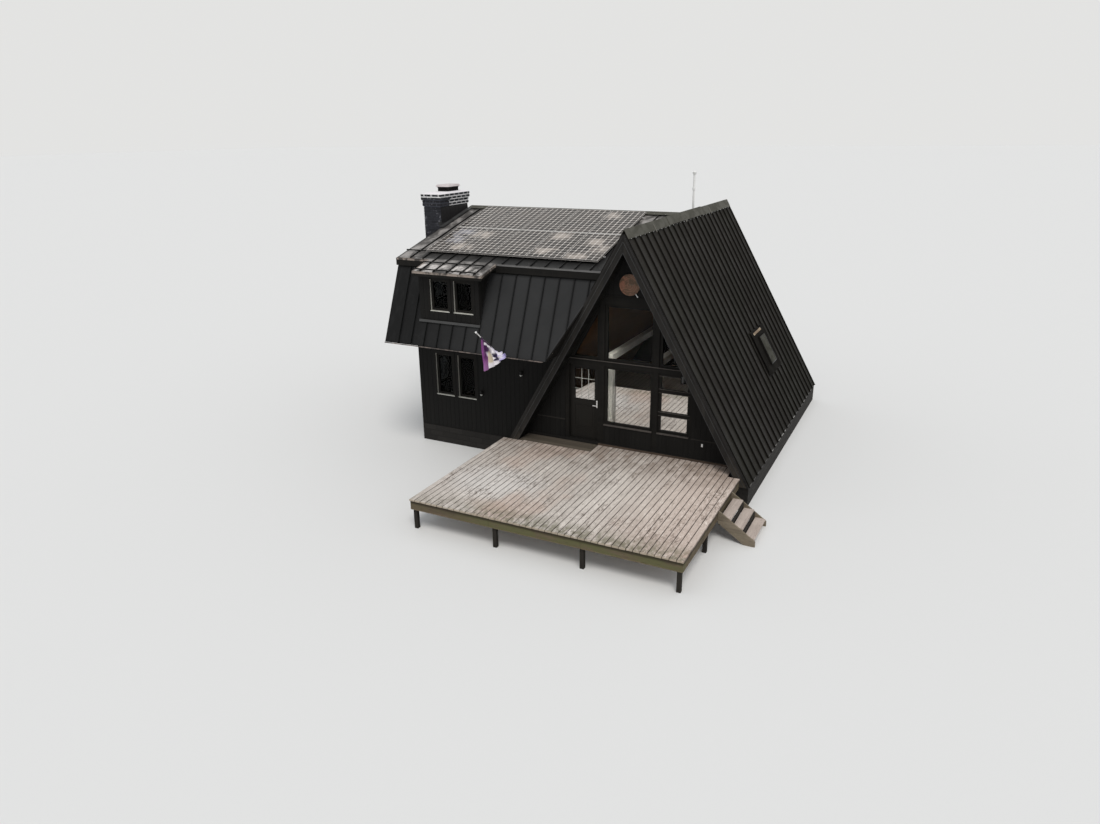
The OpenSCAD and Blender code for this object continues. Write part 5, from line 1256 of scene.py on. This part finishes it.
def foot_edges():
    """Folded edges along the feet of the steep roofs."""
    bm = bmesh.new()
    for y0, y1, z0, z1 in ((-0.058, -0.048, -0.014, 0.010), (-0.054, 0.010, -0.014, -0.009)):
        for near, far in ((STEEP_Y + y0, STEEP_Y + y1), (behind(STEEP_Y + y1), behind(STEEP_Y + y0))):
            slab(bm, (WING_EDGE_X, near, STEEP_Z + z0), (-1.80, far, STEEP_Z + z1))
    saw_by_sheets(bm, 0.046)
    fit("foot_edges", bm, FOOT_METAL, eased=0.0012)


def dormer_aprons():
    """Aprons on the steep roofs, below the dormers."""
    bm = bmesh.new()
    up = (DORMER_FOOT_Z - STEEP_Z) / STEEP_IN
    left, right = DORMER_WEST - 0.030, DORMER_EAST + 0.030
    for steep, a, c in ((STEEP, left, right), (STEEP_BACK, -right, -left)):
        slab(bm, (a, up - 0.050, 0.046), (c, up + 0.012, 0.050), steep)
        slab(bm, (a, up - 0.056, 0.040), (c, up - 0.050, 0.050), steep)
    fit("dormer_aprons", bm, APRON_METAL, eased=0.001)


def barge_trims():
    """Folded edge of the sheets over each rake board."""
    bm = bmesh.new()
    thick, wide = 0.008, 0.052
    for roof, ends in RAKES:
        for u in ends:
            inner = u if u == ends[0] else u + thick - wide
            slab(bm, (u, -ROOF_RUN + 0.004, -0.030), (u + thick, -0.020, 0.014), roof)
            slab(bm, (inner, -ROOF_RUN + 0.004, 0.008), (inner + wide, -0.020, 0.014), roof)
    fit("barge_trims", bm, RAKE_METAL, eased=0.0015)


def rake_mouldings():
    """Two fine lines along each rake board, paler to paint their highlight."""
    bm = bmesh.new()
    for roof, ends in RAKES:
        for u in ends:
            for low, high in ((-0.090, -0.078), (-0.214, -0.203)):
                slab(bm, (u, -ROOF_RUN + 0.030, low), (u + 0.008, low * SLOPE, high), roof)
    saw(bm, (0, 0, EAVE_Z + 0.004), (0, 0, -1))
    fit("rake_mouldings", bm, RAKE_HIGHLIGHT_LINE)


def cap_screws():
    """Screws with washers along the ridge caps."""
    bm = bmesh.new()
    for roofs, count, start, step, down, out in ((CABIN_ROOFS, 29, -0.42, 0.30, 0.165, 0.0585),
                                                 (WING_ROOFS, 20, -6.40, 0.32, 0.180, 0.052)):
        for roof, way in roofs:
            for i in range(count):
                place = roof @ Matrix.Translation(((start + i * step) * way, -down, out))
                stub(bm, place, 8, 0.011, 0.006, top=0.008)
    fit("cap_screws", bm, FRAME_METAL)


def cap_laps():
    """Laps between the lengths of the cabin's ridge cap."""
    bm = bmesh.new()
    for roof, way in CABIN_ROOFS:
        for y in (1.250, 3.650, 6.050):
            u0, u1 = sorted((y * way, (y + 0.045) * way))
            slab(bm, (u0, -0.205, 0.0560), (u1, -0.004, 0.0600), roof)
    fit("cap_laps", bm, LAP_METAL, eased=0.0008)


def eave_hems():
    """Folded hems of the pans along the eaves of the long roof."""
    bm = bmesh.new()
    for roof, way in CABIN_ROOFS:
        for i in range(22):
            low = -0.54 + i * 0.40 + dice.uniform(0.0, 0.10)
            high = -0.19 + i * 0.40 - dice.uniform(0.0, 0.12)
            u0, u1 = sorted((low * way, high * way))
            slab(bm, (u0, -ROOF_RUN - 0.005, 0.002), (u1, -ROOF_RUN + 0.014, 0.013), roof)
    fit("eave_hems", bm, HEM_METAL, eased=0.002)


drip_edges()
grey_edges()
side_strips()
foot_edges()
dormer_aprons()
barge_trims()
rake_mouldings()
cap_screws()
cap_laps()
eave_hems()

# Solar array


def module_frame(sides, joints, left, top, upper):
    """Four bars round a module; the bars along the middle of the array are kept apart. They keep the pale
    metal, and the others take a darker copy that paints their dark reflection.
    """
    bar, wide, tall = 0.016, MODULE_WIDE, MODULE_TALL
    for a, c, d, e in ((0, wide, 0, bar), (0, wide, tall - bar, tall), (0, bar, bar, tall - bar),
                       (wide - bar, wide, bar, tall - bar)):
        middle = e == tall if upper else d == 0
        bars = joints if middle else sides
        slab(bars, (left + a, top - e, 0.080), (left + c, top - d, 0.1095), WING_ROOF)


def module_cells(cells, left, top):
    """Sixty cells with cut corners."""
    across, down = 6, 10
    pitch_x, pitch_y = (MODULE_WIDE - 0.040) / across, (MODULE_TALL - 0.050) / down
    out = WING_ROOF.col[2].xyz
    for m in range(across):
        for n in range(down):
            x, y = left + 0.020 + m * pitch_x, top - 0.025 - n * pitch_y
            cell = slab(cells, (x + 0.0082, y - pitch_y + 0.0070, 0.1066),
                        (x + pitch_x - 0.0082, y - 0.0070, 0.1078), WING_ROOF)
            edges = [e for v in cell for e in v.link_edges if e.verts[0] == v]
            upright = [e for e in edges if abs((e.verts[0].co - e.verts[1].co).normalized().dot(out)) > 0.9]
            ease(cells, 0.018, edges=upright)


def solar_array():
    """Two rows of five modules on the wing's front slope."""
    cells, sides, joints = bmesh.new(), bmesh.new(), bmesh.new()
    for i in range(5):
        for j in range(2):
            left = ARRAY_WEST + i * (MODULE_WIDE + MODULE_GAP)
            top = ARRAY_TOP - j * (MODULE_TALL + MODULE_GAP)
            module_frame(sides, joints, left, top, j == 0)
            module_cells(cells, left, top)
    fit("solar_cells", cells, CELL_FACE)
    fit("module_frames", sides, DARK_REFLECTION_FRAME, eased=0.001)
    fit("module_joint_frames", joints, FRAME_METAL, eased=0.001)


solar_array()

# Chimney

CHIMNEY = {"west": (facing_west(STACK_WEST), -STACK_BACK, -STACK_FRONT),
           "south": (facing_front(STACK_FRONT), STACK_WEST, STACK_EAST),
           "north": (facing_back(STACK_BACK), -STACK_EAST, -STACK_WEST),
           "east": (facing_east(STACK_EAST), STACK_FRONT, STACK_BACK)}
STACK_MIDDLE = ((STACK_WEST + STACK_EAST) / 2, (STACK_FRONT + STACK_BACK) / 2)
CAP_MIDDLE = (-6.860, 2.6425)
BREAST_EAST = -6.312
BRICK, COURSE, JOINT = 0.215, 0.075, 0.010
CROWN_COURSE, CROWN_JOINT = 0.085, 0.031


def lay_bricks(bm, place, left, right, low, courses, first, course=COURSE, joint=JOINT, proud=0.007,
               lift=0.0):
    """Courses in stretcher bond between two arrises, every other one set off by half a brick."""
    near_arris, sliver = 0.012, 0.03
    for i in range(courses):
        v = low + i * course
        u = left - (BRICK + joint) / 2 * ((i + first) % 2)
        while u < right - 0.001:
            a, c = max(u, left - proud), min(u + BRICK, right + proud)
            if u <= left:
                a = left - proud
            if c > right - near_arris:
                c = right + proud
            if c - a > sliver:
                out = proud + dice.uniform(-0.0015, 0.0015)
                slab(bm, (a, v + joint, lift - 0.001), (c, v + course, lift + out), place)
            u += BRICK + joint


def draw_in(corners, above, middle, by_x, by_y):
    """Moves the corners above a height in towards the middle."""
    for v in corners:
        if v.co.z > above:
            v.co.x += by_x * (1 if v.co.x < middle[0] else -1)
            v.co.y += by_y * (1 if v.co.y < middle[1] else -1)


def chimney_bricks():
    """Bricks of the stack and of the breast below the wing's roof."""
    bm = bmesh.new()
    stack_courses, breast_courses = 85, 68
    breast = {"south": (STACK_EAST, BREAST_EAST), "north": (-BREAST_EAST, -STACK_EAST)}
    for side in ("west", "south", "north"):
        place, left, right = CHIMNEY[side]
        lay_bricks(bm, place, left, right, 0.0, stack_courses, side in breast)
        if side in breast:
            lay_bricks(bm, place, *breast[side], 0.0, breast_courses, True)
    fit("chimney_bricks", bm, STACK_BRICK, eased=0.0035)


def crown_bricks():
    """The crown's two pairs of courses, each standing out further."""
    bm = bmesh.new()
    for out, low in ((0.026, 6.405), (0.052, 6.575)):
        for side, (place, left, right) in CHIMNEY.items():
            lay_bricks(bm, place, left - out, right + out, low - 0.008, 2, side in ("west", "east"),
                       CROWN_COURSE, CROWN_JOINT, 0.006, out)
    fit("crown_bricks", bm, CROWN_BRICK, eased=0.004)


def crown_mortar():
    """Bed of mortar on the crown, sloped to its edges."""
    bm = bmesh.new()
    bed = slab(bm, (-7.186, 1.729, 6.744), (-6.534, 3.256, 6.786))
    draw_in(bed, 6.76, STACK_MIDDLE, 0.10, 0.12)
    fit("crown_mortar", bm, CROWN_MORTAR, eased=0.008, steps=2)


def stack_panel():
    """Sheet over the side of the stack that faces the roof, with upright ribs."""
    bm = bmesh.new()
    low, high = 5.95, 6.395
    slab(bm, (STACK_EAST - 0.001, 1.800, low), (STACK_EAST + 0.008, 3.200, high))
    for y in (1.800, 2.262, 2.724, 3.186):
        slab(bm, (STACK_EAST + 0.007, y, low), (STACK_EAST + 0.012, y + 0.014, high))
    fit("stack_panel", bm, PANEL_METAL, eased=0.0015)


def cap_cover():
    """Cover of the chimney's cap, with rounded corners."""
    bm = bmesh.new()
    x, y = CAP_MIDDLE
    cover = slab(bm, (x - 0.240, y - 0.355, 6.918), (x + 0.240, y + 0.355, 6.972))
    draw_in(cover, 6.95, CAP_MIDDLE, 0.030, 0.030)
    upright = [e for e in bm.edges if abs((e.verts[0].co - e.verts[1].co).z) > 0.04]
    ease(bm, 0.070, 4, upright)
    fit("cap_cover", bm, COVER_METAL)


def cap_screen():
    """Bars of the screen under the cap's cover, on four sides."""
    bm = bmesh.new()
    foot_z, top_z, pitch = 6.745, 6.896, 0.016
    for x, y, run in ((-0.165, 0, 0.28), (0.165, 0, 0.28), (0, -0.285, 0.16), (0, 0.285, 0.16)):
        across = Vector((0, 1, 0)) if y == 0 else Vector((1, 0, 0))
        spot = Vector((CAP_MIDDLE[0] + x, CAP_MIDDLE[1] + y, foot_z))
        for i in range(int(2 * run / pitch) + 1):
            foot = spot + across * (-run + i * pitch)
            slab(bm, (foot.x - 0.0035, foot.y - 0.0035, foot_z), (foot.x + 0.0035, foot.y + 0.0035, top_z))
        low, high = spot - across * run, spot + across * run
        for z in (6.750, 6.800, 6.850):
            slab(bm, (low.x - 0.002, low.y - 0.002, z), (high.x + 0.002, high.y + 0.002, z + 0.008))
    fit("cap_screen", bm, DARK_METAL)


def stack_flashing():
    """Flashing between the stack and the wing's roof."""
    bm = bmesh.new()
    lean = math.cos(math.atan(WING_SLOPE))
    s0, s1 = (WING_RIDGE_Y - 3.250) / lean, (WING_RIDGE_Y - 1.700) / lean
    slab(bm, (-6.590, -s1, 0.050), (-6.440, -s0, 0.054), WING_ROOF)
    slab(bm, (-6.584, -s1, 0.050), (-6.576, -s0, 0.175), WING_ROOF)
    fit("stack_flashing", bm, APRON_METAL, eased=0.001)


chimney_bricks()
crown_bricks()
crown_mortar()
stack_panel()
cap_cover()
cap_screen()
stack_flashing()

# Deck and steps

BOARD_FOOT_Z = 0.688


def board_end(x0, x1):
    """Where a deck board stops: at the roof's feet, at the planks before the door or at the wall."""
    if max(abs(x0), abs(x1)) > 2.847:
        return DECK_BACK
    return -0.600 if x1 < -0.79 else -0.080


def deck_boards():
    """Boards that take the deck floor's place, each cut and laid a little differently, and their screws."""
    boards, screws = bmesh.new(), bmesh.new()
    joists = [DECK_FRONT + 0.045 + i * 0.59 for i in range(9)]
    for i in range(DECK_COUNT):
        x0 = DECK_WEST + i * DECK_PITCH
        x1 = x0 + DECK_PITCH - DECK_GAP
        back = board_end(x0, x1)
        front = DECK_FRONT + dice.uniform(-0.004, 0.006)
        top = DECK_Z + dice.uniform(-0.0012, 0.0)
        slab(boards, (x0, front, BOARD_FOOT_Z), (x1, back, top))
        for y in joists:
            if y < back - 0.05:
                for x in (x0 + 0.030, x1 - 0.030):
                    spot = Matrix.Translation((x, y + dice.uniform(-0.006, 0.006), top + 0.0006))
                    bmesh.ops.create_circle(screws, cap_ends=True, segments=7, radius=0.0048, matrix=spot)
    laid = fit("deck_boards", boards, GREY_BOARDS, eased=0.004)
    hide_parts("deck_floor")
    fit("deck_screws", screws, DARK_METAL)


def landing_planks():
    """Three planks in front of the door."""
    bm = bmesh.new()
    for i in range(3):
        y = -0.592 + i * 0.168
        slab(bm, (-2.840, y, BOARD_FOOT_Z), (-0.800, y + 0.160, DECK_Z + 0.002))
    fit("landing_planks", bm, LANDING, eased=0.004)


def step_risers():
    """Boards behind the treads, dark to paint the shade between them."""
    bm = bmesh.new()
    for x, top in ((3.050, 0.500), (3.314, 0.500), (3.576, 0.320)):
        slab(bm, (x, -2.368, top - 0.165), (x + 0.018, -1.348, top - 0.002))
    fit("step_risers", bm, POSTS_IN_SHADE, eased=0.002)


def wall_foot_board():
    """Board along the foot of the gable, on the deck."""
    bm = bmesh.new()
    slab(bm, (-0.792, -0.104, DECK_Z + 0.0008), (2.700, -0.086, DECK_Z + 0.050))
    saw(bm, *UNDER_EAST)
    fit("wall_foot_board", bm, FOOT_BOARD, eased=0.003)


def rim_face_boards():
    """Three boards along the front of the deck's rim."""
    bm = bmesh.new()
    for x0, x1 in ((-3.274, -1.260), (-1.252, 0.890), (0.898, 3.035)):
        slab(bm, (x0, -4.846, 0.480), (x1, -4.838, 0.684))
    fit("rim_face_boards", bm, RIM_BOARDS, eased=0.0025)


deck_boards()
landing_planks()
step_risers()
wall_foot_board()
rim_face_boards()

# Roof window and lamps


def roof_window():
    """Apron, pane, bright side trims and head flashing of the roof window."""
    mid_u, mid_v, half_w, half_l = 5.190, 2.11 - ROOF_RUN, 0.270, 0.425
    left, right, low, high = mid_u - half_w, mid_u + half_w, mid_v - half_l, mid_v + half_l
    bm = bmesh.new()
    slab(bm, (left - 0.45, low - 0.26, 0.0465), (right + 0.45, high + 0.26, 0.0500), EAST_ROOF)
    slab(bm, (left - 0.016, low - 0.016, 0.048), (right + 0.016, high + 0.016, 0.085), EAST_ROOF)
    fit("roof_window_apron", bm, DARK_APRON, eased=0.002)

    bm = bmesh.new()
    slab(bm, (left + 0.014, low + 0.012, 0.1045), (right - 0.014, high - 0.012, 0.1085), EAST_ROOF)
    fit("roof_window_light", bm, ROOF_PANE, eased=0.0015)

    bm = bmesh.new()
    slab(bm, (right - 0.016, low - 0.010, 0.100), (right + 0.006, high - 0.010, 0.113), EAST_ROOF)
    slab(bm, (left - 0.006, low - 0.012, 0.100), (right - 0.016, low + 0.012, 0.113), EAST_ROOF)
    fit("roof_window_trim", bm, APRON_METAL, eased=0.003)

    bm = bmesh.new()
    slab(bm, (left - 0.240, high + 0.130, 0.0490), (right + 0.050, high + 0.200, 0.0540), EAST_ROOF)
    slab(bm, (left - 0.240, high + 0.130, 0.0510), (right + 0.050, high + 0.138, 0.0620), EAST_ROOF)
    fit("head_flashing", bm, HEAD_METAL, eased=0.0015)


def small_light_lenses():
    """Pale glass in the wing's two small lights."""
    bm = bmesh.new()
    for x, z in ((-3.000, 2.400), (-4.250, 1.690)):
        place = Matrix.Translation((x, -WALL - 0.070, z - 0.052))
        bmesh.ops.create_uvsphere(bm, u_segments=16, v_segments=8, radius=0.036, matrix=place)
    fit("small_light_lenses", bm, LENS_GLASS, smooth=True)


def lantern():
    """Cage and glass of the lantern on the gable."""
    centre, ring = Vector((1.430, -0.155, 0)), 0.0535
    bm = bmesh.new()
    for i in range(8):
        turn = math.pi * (i + 0.5) / 4
        foot = centre + Vector((ring * math.cos(turn), ring * math.sin(turn), 2.700))
        round_bar(bm, foot, foot + Vector((0, 0, 0.190)), 0.0035, 6)
    for z in (2.704, 2.886):
        stub(bm, Matrix.Translation(centre + Vector((0, 0, z))), 24, 0.058, 0.008)
    fit("lantern_cage", bm, DARK_METAL)

    bm = bmesh.new()
    stub(bm, Matrix.Translation(centre + Vector((0, 0, 2.800))), 24, 0.0512, 0.150)
    fit("lantern_glass", bm, LANTERN_GLASS)


roof_window()
small_light_lenses()
lantern()

# Flag

HOIST, DROP = 0.85, 0.93
SLEEVE, ROUND_STAFF = 0.09, 0.0165

# The lower hem, from below the staff's tip to below its foot: share of the hoist, place
LOW_HEM = [(0.0, Vector((-3.080, -1.86, 2.890))), (0.16, Vector((-3.035, -1.82, 2.925))),
           (0.34, Vector((-2.995, -1.70, 2.955))), (0.52, Vector((-2.945, -1.55, 2.985))),
           (0.70, Vector((-2.880, -1.44, 3.045))), (0.86, Vector((-2.790, -1.36, 3.150))),
           (1.0, Vector((-2.690, -1.29, 3.225)))]


def wave(turns):
    """A sine of a number of turns."""
    return math.sin(2 * math.pi * turns)


def drape(u, t):
    """Where the cloth hangs, u from the staff's tip to its foot and t from the staff to the lower hem."""
    up_staff = Vector((0, -math.cos(STAFF_ANGLE), math.sin(STAFF_ANGLE)))
    aside = Vector((1, 0, 0))
    over = aside.cross(up_staff)
    turn = math.radians(-350 * min(t / SLEEVE, 1.0))
    spot = STAFF_FOOT + up_staff * (0.9797 - u * HOIST)
    spot += (aside * math.cos(turn) + over * math.sin(turn)) * ROUND_STAFF
    if t <= SLEEVE:
        return spot
    t = (t - SLEEVE) / (1 - SLEEVE)
    k = max(i for i in range(len(LOW_HEM) - 1) if LOW_HEM[i][0] <= u or i == 0)
    (before, start), (after, stop) = LOW_HEM[k:k + 2]
    spot = spot.lerp(start.lerp(stop, (u - before) / (after - before)), t)
    turns = 4.6 * u + 0.30 * t
    fold = wave(turns) * 0.75 + wave(7.7 * u - 0.5 * t + 0.2) * 0.25
    grow = min(1.0, t * 2.4) ** 0.8
    crush = max(0.0, u - 0.35) / 0.65
    sag = math.sin(math.pi * t)
    spot.x += (0.030 + 0.018 * crush) * fold * grow
    spot.y += 0.030 * crush * wave(2.6 * t + 1.3 * u) * grow - 0.060 * wave(turns + 0.25) * grow
    spot.z += 0.022 * crush * wave(3.1 * t - 1.1 * u) * sag - 0.02 * sag * (1 - crush)
    return spot


def flag():
    """Cloth wrapped round the staff by its sleeve, hanging in folds of its own weight."""
    bm = bmesh.new()
    bmesh.ops.create_grid(bm, x_segments=96, y_segments=56, size=0.5, calc_uvs=True)
    chart = bm.loops.layers.uv.verify()
    for face in bm.faces:
        for loop in face.loops:
            loop[chart].uv = (loop.vert.co.x + 0.5, loop.vert.co.y + 0.5)
    for v in bm.verts:
        v.co = drape(v.co.x + 0.5, 0.5 - v.co.y)
    piece = fit("flag_cloth", bm, FLAG_CLOTH, smooth=True)
    piece.data.uv_layers[0].name = "cloth"
    thick = piece.modifiers.new("thickness", "SOLIDIFY")
    thick.thickness, thick.offset = 0.0012, 0
    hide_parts("flag")


flag()

# Floor and light


def studio_floor():
    """Wide pale floor that keeps the cabin's shadow."""
    pale = {"Base_Color": (0.80, 0.80, 0.79), "Roughness": 0.9, "Specular_IOR_Level": 0.1}
    finish = new_finish("studio_floor", **pale)[0]
    bm = bmesh.new()
    bmesh.ops.create_grid(bm, x_segments=1, y_segments=1, size=400)
    mesh = bpy.data.meshes.new("studio_floor")
    bm.to_mesh(mesh)
    bm.free()
    mesh.materials.append(finish)
    ground = bpy.data.objects.new("studio_floor", mesh)
    scene.collection.objects.link(ground)


def studio_sky():
    """Soft sky light, and a plain pale background for the camera, the mirrors and the glass."""
    sky = bpy.data.worlds.new("studio")
    scene.world = sky
    sky.use_nodes = True
    b = Bench(sky.node_tree)
    path = b.add("LightPath").outputs
    mirrored = b.maths("MAXIMUM", path["Is Glossy Ray"], path["Is Transmission Ray"])
    seen = b.maths("MAXIMUM", path["Is Camera Ray"], mirrored)
    soft = sky.node_tree.nodes["Background"]
    b.feed(soft, {"Color": (0.93, 0.96, 1.0), "Strength": 0.60})
    white = b.add("Background", {"Color": (0.77, 0.77, 0.76), "Strength": 1.0})
    mix = b.add("MixShader", {0: seen, 1: soft.outputs[0], 2: white.outputs[0]})
    b.tree.links.new(mix.outputs[0], sky.node_tree.nodes["World Output"].inputs["Surface"])


def studio_lamp():
    """One broad lamp, high in front of the cabin and a little to its right."""
    lamp = bpy.data.lights.new("high_lamp", "SUN")
    lamp.energy, lamp.angle, lamp.color = 1.5, math.radians(25), (1.0, 0.97, 0.93)
    sun = bpy.data.objects.new("high_lamp", lamp)
    sun.rotation_euler = Vector((0.35, -0.55, 1.0)).to_track_quat("Z", "Y").to_euler()
    scene.collection.objects.link(sun)


studio_floor()
studio_sky()
studio_lamp()

scene.view_settings.view_transform = "Standard"
